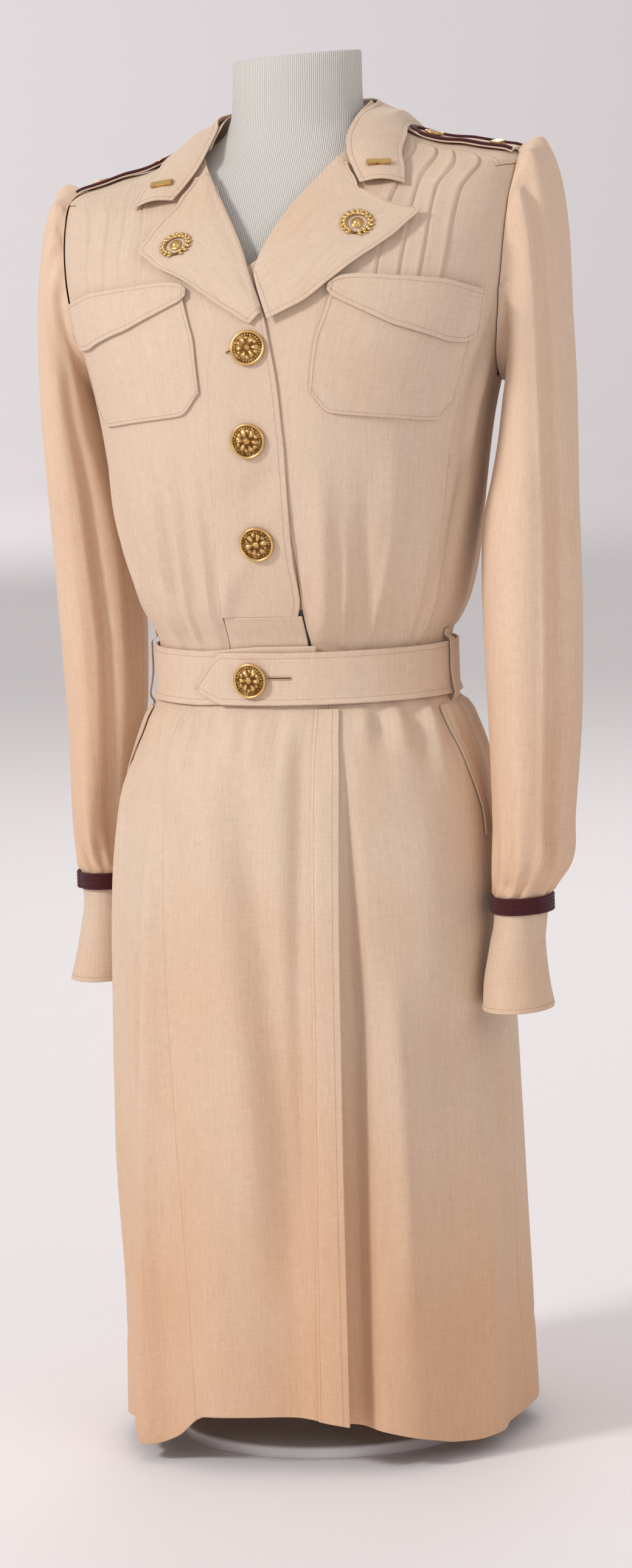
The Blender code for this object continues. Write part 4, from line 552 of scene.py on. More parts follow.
def border_distance(grid, around=False):
    """How far each grid point is from the piece's edge, measured along the grid's own lines."""
    def run(values, axis):
        gaps = np.linalg.norm(np.diff(values, axis=axis), axis=-1)
        start = np.zeros_like(np.take(gaps, [0], axis=axis))
        total = np.concatenate([start, np.cumsum(gaps, axis=axis)], axis=axis)
        return np.minimum(total, np.take(total, [-1], axis=axis) - total)
    rows = run(grid, 0)
    return rows if around else np.minimum(rows, run(grid, 1))


# Meshes

def mesh_object(name, points, faces, material, uv=None, flat=False):
    """A mesh from points and four-sided faces, turned so that its faces point out, riding on the frame."""
    points, faces = leaned(points), np.asarray(faces, np.int32)
    a, b, c, d = (points[faces[:, i]] for i in range(4))
    if (np.cross(b, c) * a).sum() + (np.cross(c, d) * a).sum() < 0:
        faces = faces[:, ::-1]
    mesh = bpy.data.meshes.new(name + "_fine")
    mesh.vertices.add(len(points))
    mesh.vertices.foreach_set("co", points.astype(np.float32).ravel())
    mesh.loops.add(faces.size)
    mesh.loops.foreach_set("vertex_index", faces.ravel())
    mesh.polygons.add(len(faces))
    mesh.polygons.foreach_set("loop_start", np.arange(len(faces), dtype=np.int32) * 4)
    mesh.update(calc_edges=True)
    if uv is not None:
        layer = mesh.uv_layers.new(name="cloth")
        layer.data.foreach_set("uv", uv[faces.ravel()].astype(np.float32).ravel())
    mesh.shade_flat() if flat else mesh.shade_smooth()
    mesh.materials.append(MATERIALS[material])
    thing = bpy.data.objects.new(name + "_fine", mesh)
    LOOKS.objects.link(thing)
    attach(thing, BODY)
    return thing


def grid_faces(rows, columns, around, start=0, flip=False):
    spans = columns if around else columns - 1
    i, j = np.meshgrid(np.arange(rows - 1), np.arange(spans), indexing="ij")
    k = (j + 1) % columns
    faces = np.stack([i * columns + j, i * columns + k, (i + 1) * columns + k, (i + 1) * columns + j], -1)
    faces = faces.reshape(-1, 4) + start
    return faces[:, ::-1] if flip else faces


def cloth_uv(grid, around):
    """Where each point lies in the flat cloth, in metres: across from the middle column and down."""
    side = np.linalg.norm(np.diff(grid, axis=1), axis=-1)
    u = np.concatenate([np.zeros((len(grid), 1)), np.cumsum(side, 1)], 1)
    u = u - u[:, grid.shape[1] // 2][:, None]
    down = np.linalg.norm(np.diff(grid, axis=0), axis=-1).mean(1)
    v = np.concatenate([[0], np.cumsum(down)])[:, None] + 0 * u
    return np.stack([u, -v], -1)


def shell(name, outer, inner, material, around=False, uv=None):
    """Closed cloth between two fine grids, with its edges rounded over."""
    rows, columns = outer.shape[:2]
    count = rows * columns
    flat_uv = cloth_uv(outer, around) if uv is None else uv
    ids = np.arange(count).reshape(rows, columns)
    points, faces = [outer.reshape(-1, 3), inner.reshape(-1, 3)], [grid_faces(rows, columns, around)]
    faces.append(grid_faces(rows, columns, around, count, flip=True))
    uvs = [flat_uv.reshape(-1, 2)] * 2
    loops = []
    if around:
        loops = [(ids[0], ids[1], False), (ids[-1], ids[-2], True)]
    else:
        edge = np.concatenate([ids[0, :-1], ids[:-1, -1], ids[-1, :0:-1], ids[:0:-1, 0]])
        inside = np.concatenate([ids[1, :-1], ids[:-1, -2], ids[-2, :0:-1], ids[:0:-1, 1]])
        loops = [(edge, inside, False)]
    start = 2 * count
    flat_outer, flat_inner = outer.reshape(-1, 3), inner.reshape(-1, 3)
    for edge, inside, flip in loops:
        away = flat_outer[edge] - flat_outer[inside]
        away /= np.maximum(np.linalg.norm(away, axis=1, keepdims=True), 1e-9)
        thick = np.linalg.norm(flat_outer[edge] - flat_inner[edge], axis=1, keepdims=True)
        middle = (flat_outer[edge] + flat_inner[edge]) / 2 + away * thick * 0.20
        points.append(middle)
        uvs.append(flat_uv.reshape(-1, 2)[edge])
        ring = start + np.arange(len(edge))
        following, next_edge = np.roll(ring, -1), np.roll(edge, -1)
        first = np.stack([next_edge, edge, ring, following], -1)
        second = np.stack([following, ring, count + edge, count + next_edge], -1)
        faces.extend([first[:, ::-1], second[:, ::-1]] if flip else [first, second])
        start += len(edge)
    return mesh_object(name, np.concatenate(points), np.concatenate(faces), material, np.concatenate(uvs))


def hem_groove(grid, around=False, inset=0.004, deep=0.00030, plump=0.00025):
    """The dent along a row of topstitching and the fullness of the folded edge outside it."""
    away = border_distance(grid, around)
    return -deep * np.exp(-((away - inset) / 0.0009) ** 2) + plump * np.exp(-((away - inset * 0.45) / (inset * 0.4)) ** 2)


FINE_GRIDS = {}


def sheet(name, outer, inner, material, around=False, step=None, groove=False, extra=None, free=True):
    """A wall between two coarse grids of points, made fine; it stands for the node of its name."""
    step = step or (TRIM_STEP if groove else CLOTH_STEP)
    outer, inner = refine([outer, inner], outer, step, free, around)
    facing = outer - inner
    facing /= np.maximum(np.linalg.norm(facing, axis=-1, keepdims=True), 1e-9)
    rise = 0.0002 * smooth_noise(outer, 0.02, len(name))
    if groove:
        rise = rise + hem_groove(outer, around)
    if extra is not None:
        rise = rise + extra(outer)
    outer, inner = outer + facing * rise[..., None], inner + facing * rise[..., None]
    FINE_GRIDS[name] = (outer, facing)
    thing = shell(name, outer, inner, material, around)
    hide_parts(NODE_OF.get(name, name))
    return thing


def on_dress(name, angles, heights, low, thick, material="cloth", groove=False, folds=(), free_edge=None, ripple=0.00035):
    """A piece on the dress's surface, made fine, with its creases; it stands for the node of its name."""
    low = np.broadcast_to(low, np.shape(angles)).astype(float)
    coarse = surface(angles, heights, low + thick)
    step = TRIM_STEP if groove else CLOTH_STEP
    angles, heights, low = refine([angles, heights, low], coarse, step)
    base = surface(angles, heights)
    rise = low + ripple * smooth_noise(base, 0.055, 3) * ramp(heights, 0.0, 0.05)
    if folds:
        calm = ramp(np.abs(heights - (BELT_LOW + BELT_HIGH) / 2), 0.020, 0.034)
        rise = rise + fold_height(base, folds) * calm
    if groove:
        rise = rise + hem_groove(base)
    if free_edge is not None:
        rise = rise + free_edge(base, angles, heights)
    outer, inner = surface(angles, heights, rise + thick), surface(angles, heights, rise)
    FINE_GRIDS[name] = (outer, normal_at(outer))
    thing = shell(name, outer, inner, material)
    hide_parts(name)
    return thing


def normals_of(grid):
    """Normals of a grid of points, from its neighbours."""
    along, across = np.gradient(grid, axis=0), np.gradient(grid, axis=1)
    normal = np.cross(along, across)
    return normal / np.linalg.norm(normal, axis=-1, keepdims=True)


# Materials

class Nodes:
    """Short calls for building one material's nodes."""

    def __init__(self, name, roughness, metallic=0.0):
        self.material = bpy.data.materials.new(name)
        self.material.use_nodes = True
        self.tree = self.material.node_tree
        self.shader = self.tree.nodes["Principled BSDF"]
        self.shader.inputs["Roughness"].default_value = roughness
        self.shader.inputs["Metallic"].default_value = metallic

    def node(self, kind, inputs=(), **settings):
        made = self.tree.nodes.new(kind)
        for key, value in settings.items():
            setattr(made, key, value)
        for key, value in dict(inputs).items():
            if isinstance(value, bpy.types.NodeSocket):
                self.tree.links.new(value, made.inputs[key])
            else:
                made.inputs[key].default_value = value
        return made

    def place(self, kind, scale, turn=(0, 0, 0)):
        """Texture coordinates of a kind (UV or Object), scaled."""
        source = self.node("ShaderNodeTexCoord").outputs[kind]
        return self.node("ShaderNodeMapping", {"Vector": source, "Scale": scale, "Rotation": turn}).outputs["Vector"]

    def noise(self, vector, detail=3.0, rough=0.55, distort=0.0):
        return self.node("ShaderNodeTexNoise", {"Vector": vector, "Scale": 1.0, "Detail": detail, "Roughness": rough,
                                                "Distortion": distort}).outputs["Fac"]

    def blend(self, share, first, second, how="MIX"):
        """Mixes two colours."""
        made = self.tree.nodes.new("ShaderNodeMix")
        made.data_type, made.blend_type = "RGBA", how
        for socket, value in ((made.inputs[0], share), (made.inputs[6], first), (made.inputs[7], second)):
            if isinstance(value, bpy.types.NodeSocket):
                self.tree.links.new(value, socket)
            else:
                socket.default_value = value
        return made.outputs[2]

    def math(self, how, first, second=0.0, third=None):
        made = self.tree.nodes.new("ShaderNodeMath")
        made.operation = how
        for socket, value in zip(made.inputs, (first, second, third)):
            if isinstance(value, bpy.types.NodeSocket):
                self.tree.links.new(value, socket)
            elif value is not None:
                socket.default_value = value
        return made.outputs[0]

    def spread(self, value, low, high, to_low=0.0, to_high=1.0):
        return self.node("ShaderNodeMapRange", {"Value": value, "From Min": low, "From Max": high, "To Min": to_low,
                                                "To Max": to_high}).outputs["Result"]

    def colour(self, value):
        self.tree.links.new(value, self.shader.inputs["Base Color"])

    def bump(self, height, distance, strength=1.0):
        made = self.node("ShaderNodeBump", {"Height": height, "Distance": distance, "Strength": strength})
        self.tree.links.new(made.outputs["Normal"], self.shader.inputs["Normal"])


def crepe(name, base, shade_and_bounce, low_z, high_z):
    """Slubbed crepe: fine upright crinkles, a few cross slubs and broad uneven tone. Below one height it turns darker
    and peachier as painted shade and warm bounce light, and it is darker where its crinkles sink, partly the yarn's own
    tone and partly painted shade in their hollows.
    """
    m = Nodes(name, 0.86)
    crinkle = m.noise(m.place("UV", (1050.0, 95.0, 1.0)), 4.0, 0.6, 0.6)
    slub = m.noise(m.place("UV", (70.0, 820.0, 1.0)), 3.0, 0.6, 0.3)
    grain = m.noise(m.place("UV", (1500.0, 1500.0, 1.0)), 2.0)
    upright = m.noise(m.place("UV", (420.0, 18.0, 1.0)), 2.0, 0.5, 0.2)
    height = m.math("ADD", m.math("MULTIPLY", crinkle, 0.50), m.math("MULTIPLY", slub, 0.34))
    height = m.math("ADD", height, m.math("MULTIPLY", grain, 0.16))
    height = m.math("ADD", height, m.math("MULTIPLY", upright, 0.22))
    broad = m.noise(m.place("Object", (9.0, 9.0, 5.0)), 2.0, 0.5)
    # Painted shade and warm bounce light: below high_z the colour blends toward the darker, peachier second tone, fully
    # at low_z
    rise = m.node("ShaderNodeSeparateXYZ", {"Vector": m.place("Object", (1.0, 1.0, 1.0))}).outputs["Z"]
    share = m.math("ADD", m.spread(rise, low_z, high_z, 1.0, 0.0), m.spread(broad, 0.35, 0.65, -0.22, 0.22))
    tone = m.blend(m.math("MINIMUM", m.math("MAXIMUM", share, 0.0), 1.0), (*base, 1.0), (*shade_and_bounce, 1.0))
    # Painted shade in the crinkles' hollows, partly the yarn's own tone: the colour darkens where the bump's height is
    # low
    deep = m.spread(height, 0.40, 0.74, 0.0, 1.0)
    thread = m.blend(deep, (0.85, 0.82, 0.79, 1.0), (1.04, 1.04, 1.04, 1.0))
    m.colour(m.blend(1.0, tone, thread, "MULTIPLY"))
    m.bump(height, 0.00042, 0.75)
    m.shader.inputs["Sheen Weight"].default_value = 0.16
    m.shader.inputs["Sheen Roughness"].default_value = 0.5
    m.shader.inputs["Sheen Tint"].default_value = (1.0, 0.90, 0.80, 1.0)
    m.shader.inputs["Specular IOR Level"].default_value = 0.25
    return m.material


def braid_material():
    """Maroon ribbed braid: lengthwise ribs are modelled, and the threads cross them, darker where their bump is low,
    partly their own tone and partly painted shade.
    """
    m = Nodes("maroon_braid", 0.78)
    threads = m.noise(m.place("UV", (1300.0, 420.0, 1.0)), 3.0, 0.6)
    # Partly the threads' own tone and partly painted shade: the colour darkens where the thread bump is low
    tone = m.blend(m.spread(threads, 0.36, 0.66), (0.020, 0.0035, 0.0055, 1.0), (0.100, 0.012, 0.018, 1.0))
    m.colour(tone)
    m.bump(threads, 0.0003, 0.8)
    m.shader.inputs["Sheen Weight"].default_value = 0.12
    m.shader.inputs["Specular IOR Level"].default_value = 0.25
    return m.material


def gilt_material():
    """Worn gilt: bright on the raised relief, brown in its hollows."""
    m = Nodes("gilt_metal", 0.30, 1.0)
    relief = m.node("ShaderNodeAttribute", attribute_name="relief").outputs["Fac"]
    wear = m.noise(m.place("Object", (260.0, 260.0, 260.0)), 4.0, 0.6)
    raised = m.math("ADD", relief, m.spread(wear, 0.3, 0.7, -0.28, 0.28))
    m.colour(m.blend(m.spread(raised, 0.05, 0.75), (0.15, 0.065, 0.018, 1.0), (0.80, 0.52, 0.20, 1.0)))
    rough = m.spread(raised, 0.1, 0.9, 0.52, 0.27)
    m.tree.links.new(rough, m.shader.inputs["Roughness"])
    m.bump(wear, 0.0002, 0.35)
    return m.material


def knit_material():
    """Fine ribbed knit of the form's cover, darker in the hollows of its ribs as painted shade."""
    m = Nodes("form_knit", 0.92)
    wave = m.node("ShaderNodeTexWave", {"Vector": m.place("UV", (1.0, 1.0, 1.0)), "Scale": 190.0, "Distortion": 0.6,
                                        "Detail": 1.0, "Detail Scale": 2.0}, bands_direction="X").outputs["Fac"]
    loops = m.noise(m.place("UV", (900.0, 1400.0, 1.0)), 2.0)
    height = m.math("ADD", m.math("MULTIPLY", wave, 0.7), m.math("MULTIPLY", loops, 0.3))
    # Painted shade in the rib hollows: the grey darkens where the rib bump is low
    m.colour(m.blend(m.spread(height, 0.2, 0.85), (0.48, 0.462, 0.435, 1.0), (0.76, 0.735, 0.695, 1.0)))
    m.bump(height, 0.0005, 0.8)
    m.shader.inputs["Sheen Weight"].default_value = 0.2
    return m.material


def paint_material():
    """Satin white paint on the stand, a little uneven."""
    m = Nodes("stand_metal", 0.42)
    haze = m.noise(m.place("Object", (60.0, 60.0, 60.0)), 3.0)
    m.colour(m.blend(haze, (0.76, 0.735, 0.74, 1.0), (0.84, 0.815, 0.82, 1.0)))
    m.tree.links.new(m.spread(haze, 0.3, 0.7, 0.36, 0.50), m.shader.inputs["Roughness"])
    return m.material


def thread_material():
    m = Nodes("sewing_thread", 0.75)
    twist = m.noise(m.place("Object", (900.0, 900.0, 900.0)), 2.0)
    m.colour(m.blend(twist, (0.42, 0.26, 0.17, 1.0), (0.62, 0.42, 0.29, 1.0)))
    m.bump(twist, 0.0001, 0.5)
    return m.material


def slit_shade_material():
    """Painted shade in a buttonhole's slit: a dark sheet where the opening shows only shade."""
    m = Nodes("buttonhole_painted_shade", 0.95)
    shade = m.noise(m.place("Object", (700.0, 700.0, 700.0)), 2.0)
    m.colour(m.blend(shade, (0.045, 0.022, 0.014, 1.0), (0.095, 0.050, 0.032, 1.0)))
    return m.material


# Crepe tones: the bodice's own colour, a darker and peachier one of painted shade and warm bounce light for low down,
# and the sleeves' colour, lighter and peachier as painted glow
BODICE_TONE, LOW_SHADE_AND_BOUNCE_TONE, SLEEVE_TONE_AND_GLOW = (0.712, 0.556, 0.430), (0.690, 0.435, 0.275), (0.775, 0.580, 0.435)
MATERIALS = {
    "cloth": crepe("beige_crepe", BODICE_TONE, LOW_SHADE_AND_BOUNCE_TONE, 0.00, 0.46),
    # The sleeves' copy of the crepe is lighter and peachier: the cloth's colour with painted glow
    "sleeve": crepe("beige_crepe_sleeve_painted_glow", SLEEVE_TONE_AND_GLOW, LOW_SHADE_AND_BOUNCE_TONE, 0.10, 0.80),
    "braid": braid_material(),
    "gilt": gilt_material(),
    "knit": knit_material(),
    "stand": paint_material(),
    "thread": thread_material(),
    # Painted shade for the buttonhole slits
    "hole": slit_shade_material(),
}
LOOKS = bpy.data.collections.new("nurse_uniform_dress_looks")
bpy.context.scene.collection.children.link(LOOKS)
NODE_OF = {}

def folds_from(rows, depth, pieces=8):
    """Rows of a crease table as paths on the dress, their heights scaled by a depth."""
    return [(path_on_dress(path, pieces), width, out * depth, *fades) for path, width, out, *fades in rows]


BODICE_FOLDS = folds_from(BODICE_CREASES, BODICE_DEPTH)
SKIRT_FOLDS_FINE = folds_from(SKIRT_CREASES, SKIRT_DEPTH, 12)


def hem_turn(base, angles, heights):
    """The turned-up hem is two layers thick, 62 mm deep, with a faint line at its top."""
    above = heights - hem_height((angles + 180) % 360 - 180)
    return 0.0004 * (1 - ramp(above, 0.0605, 0.0635)) - 0.00035 * np.exp(-((above - 0.0625) / 0.002) ** 2)


# Bodice

def armhole(turn, grow=1.0):
    """Depth and height on the armhole's edge: 0 is the top, 90 the front and 180 the bottom."""
    turn = np.radians(turn)
    return ARMHOLE_Y - ARMHOLE_DEEP * grow * np.sin(turn), ARMHOLE_Z + ARMHOLE_TALL * grow * np.cos(turn)


def armhole_line(low, stop, rows, clear):
    """A cut line from an angle at the waist to the armhole's edge at a turn, clear of the hole on the way."""
    way = 1 if stop < 180 else -1
    y_top, z_top = armhole(stop)
    z = bodice_rows(WAIST_Z + SEAM, float(z_top), rows)
    reach = np.sqrt(np.clip(1 - ((z - ARMHOLE_Z) / ARMHOLE_TALL) ** 2, 0, 1))
    left = np.clip((z_top - z) / max(float(z_top) - ARMHOLE_Z, 0.001), 0, 1)
    beside = side_angle(ARMHOLE_Y - way * (ARMHOLE_DEEP * reach + clear * left), z)
    if z_top < ARMHOLE_Z:
        return np.interp(z, [WAIST_Z, z_top], [low, float(side_angle(y_top, z_top))]), z
    middle = float(side_angle(ARMHOLE_Y - way * (ARMHOLE_DEEP + clear), ARMHOLE_Z))
    rising = np.interp(z, [WAIST_Z, ARMHOLE_Z], [low, middle])
    return np.where(z > ARMHOLE_Z, beside, rising), z


def neck_height(angle):
    """Where the bodice ends at the neck."""
    heights = [1.001, 1.015, 1.0205, 1.0215, 1.0205, 1.0165, 1.015]
    return np.interp(np.abs(angle), [24, 45, 64, 90, 116, 150, 180], heights)


def bodice_rows(low, high, rows):
    """Heights of one cut line: the second row stands just above the belt."""
    first = low + 0.022 if low < 0.61 else low + 0.012
    return np.concatenate([[low], first + (high - first) * np.linspace(0, 1, rows - 1) ** 0.78])


def build_front(name, side, lapel, rows=14):
    """One front: its cut lines run from the waist up to the roll line, neck, yoke seam or armhole."""
    over = side < 0
    roll_x = [side * row[0] for row in lapel]
    roll_z = [row[1] for row in lapel]
    cuts = []
    # Centre edge, up to the foot of the lapel: the right front lies over the left one
    if over:
        edge_z = [0.657, 0.6630, 0.677, 0.714, 0.786, 0.832, 0.850, 0.8860, 0.9020]
        edge_x = [-0.0255, -0.0296, -0.0276, -0.0268, -0.0272, -0.0240, -0.0218, -0.0135, -0.0070]
    else:
        edge_z = [0.6605, 0.7000, 0.7500, 0.8500, 0.9210]
        edge_x = [0.0040, -0.0080, -0.0160, -0.0170, -0.0100]
    z = bodice_rows(edge_z[0], edge_z[-1], rows)
    cuts.append((np.interp(z, edge_z, edge_x), z, 0.0))
    if over:
        z = bodice_rows(0.6573, 0.912, rows)
        cuts.append((np.interp(z, [0.657, 0.70, 0.85, 0.912], [-0.004, -0.006, -0.004, -0.0035]), z, 0.0))
        z = bodice_rows(0.6573, 0.926, rows)
        cuts.append((np.interp(z, [0.657, 0.85, 0.926], [0.016, 0.014, 0.005]), z, 0.0))
        for x_low, z_low in ((0.0345, 0.6573), (0.0347, 0.6450), (0.0349, 0.6330), (0.0351, 0.6215)):
            z = bodice_rows(z_low, 0.945, rows)
            line = np.interp(z, [z_low, 0.85, 0.945], [x_low, x_low - 0.0045, x_low - 0.0205])
            cuts.append((line, z, 0.0))
        z = bodice_rows(WAIST_Z + SEAM, 0.951, rows)
        cuts.append((np.interp(z, [0.609, 0.70, 0.85, 0.951], [0.0355, 0.034, 0.033, 0.0178]), z, 0.0))
    else:
        # Its underlap lies deep under the right front, and the fold beside it shows above the belt
        steps = [(0.0030, 0.6603), (0.0022, 0.6480), (0.0015, 0.6370), (0.0009, 0.6270), (0.0004, 0.6180)]
        for inward, low in steps + [(0.0, WAIST_Z + SEAM)]:
            high = 0.9470 - inward * 4.3
            z = bodice_rows(low, high, rows)
            fold_z = [place for place, _ in FOLD_X] + [0.760, 0.850, high]
            fold_x = [x for _, x in FOLD_X] + [0.0240, 0.0150, 0.0115]
            cuts.append((np.interp(z, fold_z, fold_x) - inward * (1 + ramp(z, 0.85, high)), z, 0.0))
    for label, low, mid, high, tuck in FRONT_CUTS:
        if label in ("chest", "lapel"):
            top_z = float(np.interp(high, sorted(roll_x[2:]), roll_z[2:]))
        elif label == "neck":
            top_z = 1.0120
        else:
            # The yoke seam keeps one angle, so its height follows from x
            heights = np.linspace(0.970, 1.0215, 200)
            seam_x = surface(YOKE_ANGLE, heights)[:, 0]
            top_z = float(np.interp(high, seam_x[::-1], heights[::-1]))
        z = bodice_rows(WAIST_Z + SEAM, top_z, rows)
        stops = [0.600, 0.700, 0.900, max(top_z, 0.91)]
        x = smooth_column(stops, [low, low + (mid - low) * 0.52, mid, high])(z)
        cuts.append((x, z, tuck))
    angles = [angle_at(side * x, z) for x, z, tuck in cuts]
    heights = [z for x, z, tuck in cuts]
    lifts = [TUCK_HIGH * tuck * ramp(z, 0.885, 0.915) for x, z, tuck in cuts]
    # To the yoke's lower corner, then lines that end round the armhole, then the side seam
    z = bodice_rows(WAIST_Z + SEAM, YOKE_LOW - 3 * SEAM, rows)
    path = np.interp(z, [0.609, 0.86, 0.905, 0.945, YOKE_LOW], [61.5, 66.5, 70.6, 68.5, YOKE_ANGLE])
    lines = [(path, z)]
    for low, stop, clear in FRONT_ARMHOLE_LINES:
        lines.append(armhole_line(low, stop, rows, clear))
    for path, z in lines:
        angles.append(side * path)
        heights.append(z)
        lifts.append(np.zeros(rows))
    z = bodice_rows(WAIST_Z + SEAM, ARMHOLE_Z - ARMHOLE_TALL, rows)
    angles.append(side * np.full(rows, 89.85))
    heights.append(z)
    lifts.append(np.zeros(rows))
    angles, heights, lifts = (np.stack(values, 1) for values in (angles, heights, lifts))
    if not over:
        # The left front's edge goes under the right one, deeper and from a sharper fold near the waist
        x = surface(angles, heights)[..., 0]
        up = ramp(heights, 0.692, 0.722)
        fold = np.interp(heights, [z for z, _ in FOLD_X], [x for _, x in FOLD_X])
        begin, end = fold * (1 - up) + 0.042 * up, (fold - 0.0024) * (1 - up) + 0.030 * up
        sunk = np.clip((begin - x) / (begin - end), 0, 1) * (heights > 0.6600)
        lifts = lifts - (0.0046 * (1 - up) + (WALL + LAY + 0.0010) * up) * sunk
    return on_dress(name, angles, heights, lifts - WALL, WALL, folds=BODICE_FOLDS)


def build_back(rows=11):
    columns = []
    z = bodice_rows(WAIST_Z + SEAM, ARMHOLE_Z - ARMHOLE_TALL, rows)
    columns.append((np.full(rows, 90.15), z))
    for low, stop, clear in BACK_ARMHOLE_LINES:
        columns.append(armhole_line(low, stop, rows, clear))
    # To the yoke's lower corner, up its back seam, then to the neck
    z = bodice_rows(WAIST_Z + SEAM, YOKE_LOW - 3 * SEAM, rows)
    corner = np.interp(z, [0.609, 0.905, 0.945, YOKE_LOW], [133.0, 132.5, 127.5, 180 - YOKE_ANGLE])
    columns.append((corner, z))
    for low, top in ((138.0, 0.984), (143.0, 0.995), (148.0, 1.006), (153.0, 1.0155)):
        z = bodice_rows(WAIST_Z + SEAM, top, rows)
        columns.append((np.interp(z, [0.609, 0.90, top], [low, low - 1.5, 180 - YOKE_ANGLE]), z))
    for low, high in ((160.0, 140.0), (169.0, 160.0), (180.0, 180.0)):
        z = bodice_rows(WAIST_Z + SEAM, float(neck_height(high)), rows)
        line = np.interp(z, [0.609, 0.93, neck_height(high)], [low, low - (low - high) * 0.3, high])
        columns.append((line, z))
    angles = np.stack([angle for angle, z in columns], 1)
    heights = np.stack([z for angle, z in columns], 1)
    angles = np.concatenate([angles, 360 - angles[:, -2::-1]], 1)
    heights = np.concatenate([heights, heights[:, -2::-1]], 1)
    return on_dress("bodice_back", angles, heights, -WALL, WALL, folds=BODICE_FOLDS)


def build_yoke(name, side):
    """The strip over the shoulder, from the front yoke seam to the back one."""
    across = np.linspace(YOKE_ANGLE + 0.35, 180 - YOKE_ANGLE - 0.35, 9)
    ends = np.linspace(0, 1, 6)[:, None]
    neck, arm = neck_height(across)[None], np.full((1, 9), YOKE_LOW)
    heights = neck + (arm - neck) * ends
    return on_dress(name, side * np.repeat(across[None], 6, 0), heights, -WALL, WALL, groove=True)


def build_lapel(name, side, table):
    """The front's turned-back end: its roll line is one edge."""
    table = np.array(table)
    share = np.linspace(0, 1, 5)[None]
    steps = np.linspace(0, len(table) - 1, 2 * len(table) - 1)
    rows = np.arange(len(table))
    roll_x, roll_z, edge_x, edge_z, lift = (np.interp(steps, rows, column)[:, None] for column in table.T)
    roll_x = roll_x + side * 0.0012
    x = roll_x + (edge_x - roll_x) * share
    z = roll_z + (edge_z - roll_z) * share
    bulge = 0.0018 * np.sin(np.pi * np.clip(share * 1.6, 0, 1))
    low = LAY + 0.0006 + TUCK_HIGH * share + lift * share ** 2 + bulge
    return on_dress(name, angle_at(x, z), z, low, TRIM_WALL, groove=True)


def collar_edges():
    """Inner and outer edges of the collar leaf, all round from the wearer's right front to the left front."""
    inner, outer = [], []
    for x, y, z, angle, edge_z in COLLAR_ROWS:
        place = front_point(x, z, 0.0036) if y is None else np.array([x, y, z])
        inner.append(place)
        outer.append(surface(angle, edge_z, 0.0040))
    flip = np.array([-1, 1, 1])
    inner = [place * flip for place in inner] + inner[-2::-1]
    outer = [place * flip for place in outer] + outer[-2::-1]
    return np.array(inner), np.array(outer)


def build_collar():
    """The leaf bends over its roll, so its middle stands above the straight line between its edges."""
    inner, outer = collar_edges()
    share = np.linspace(0, 1, 6)[:, None, None]
    grid = inner[None] + (outer - inner)[None] * share
    grid = clear_of_dress(grid + normal_at(grid) * np.sin(np.pi * share) * 0.004, 0.0036)
    normal = normals_of(grid)
    normal *= np.sign((normal * normal_at(grid)).sum(-1, keepdims=True))
    sheet("collar", grid + normal * TRIM_WALL, grid, "cloth", groove=True)
    return grid + normal * TRIM_WALL, normal


def height_above(grid):
    """Roughly how far each point is above the dress's surface."""
    slope = np.stack([(level(grid + step) - level(grid - step)) / 0.0016 for step in np.eye(3) * 0.0008], -1)
    return (level(grid) - 1) / np.linalg.norm(slope, axis=-1)


def clear_of_dress(grid, least):
    """Moves points that are too near the dress out to the least height."""
    for _ in range(3):
        short = np.maximum(least - height_above(grid), 0)
        grid = grid + normal_at(grid) * short[..., None]
    return grid


def build_collar_stand():
    """The upright band inside the collar, from the neck seam up to the roll."""
    inner, _ = collar_edges()
    top = inner[3:-3].copy()
    away = top * [1, 1, 0] - [0, 0.030, 0]
    away /= np.linalg.norm(away, axis=-1, keepdims=True)
    top = top - away * 0.0009
    spread = np.degrees(np.arctan2(top[:, 0], -(top[:, 1] - 0.031)))
    spread = np.where(spread < 0, spread + 360, spread)
    order = np.where(spread > 180, 360 - spread, spread)
    foot_angle = np.sign(np.where(spread > 180, -1, 1)) * order
    foot = surface(foot_angle, neck_height(order) + 0.0010, -0.0008)
    share = np.linspace(0, 1, 4)[:, None, None]
    grid = foot[None] + (top - foot)[None] * share
    flat = grid * [1, 1, 0] - [0, 0.030, 0]
    flat /= np.linalg.norm(flat, axis=-1, keepdims=True)
    sheet("collar_stand", grid, grid - flat * TRIM_WALL, "cloth", step=TRIM_STEP)


# Sleeves, cuffs and braid

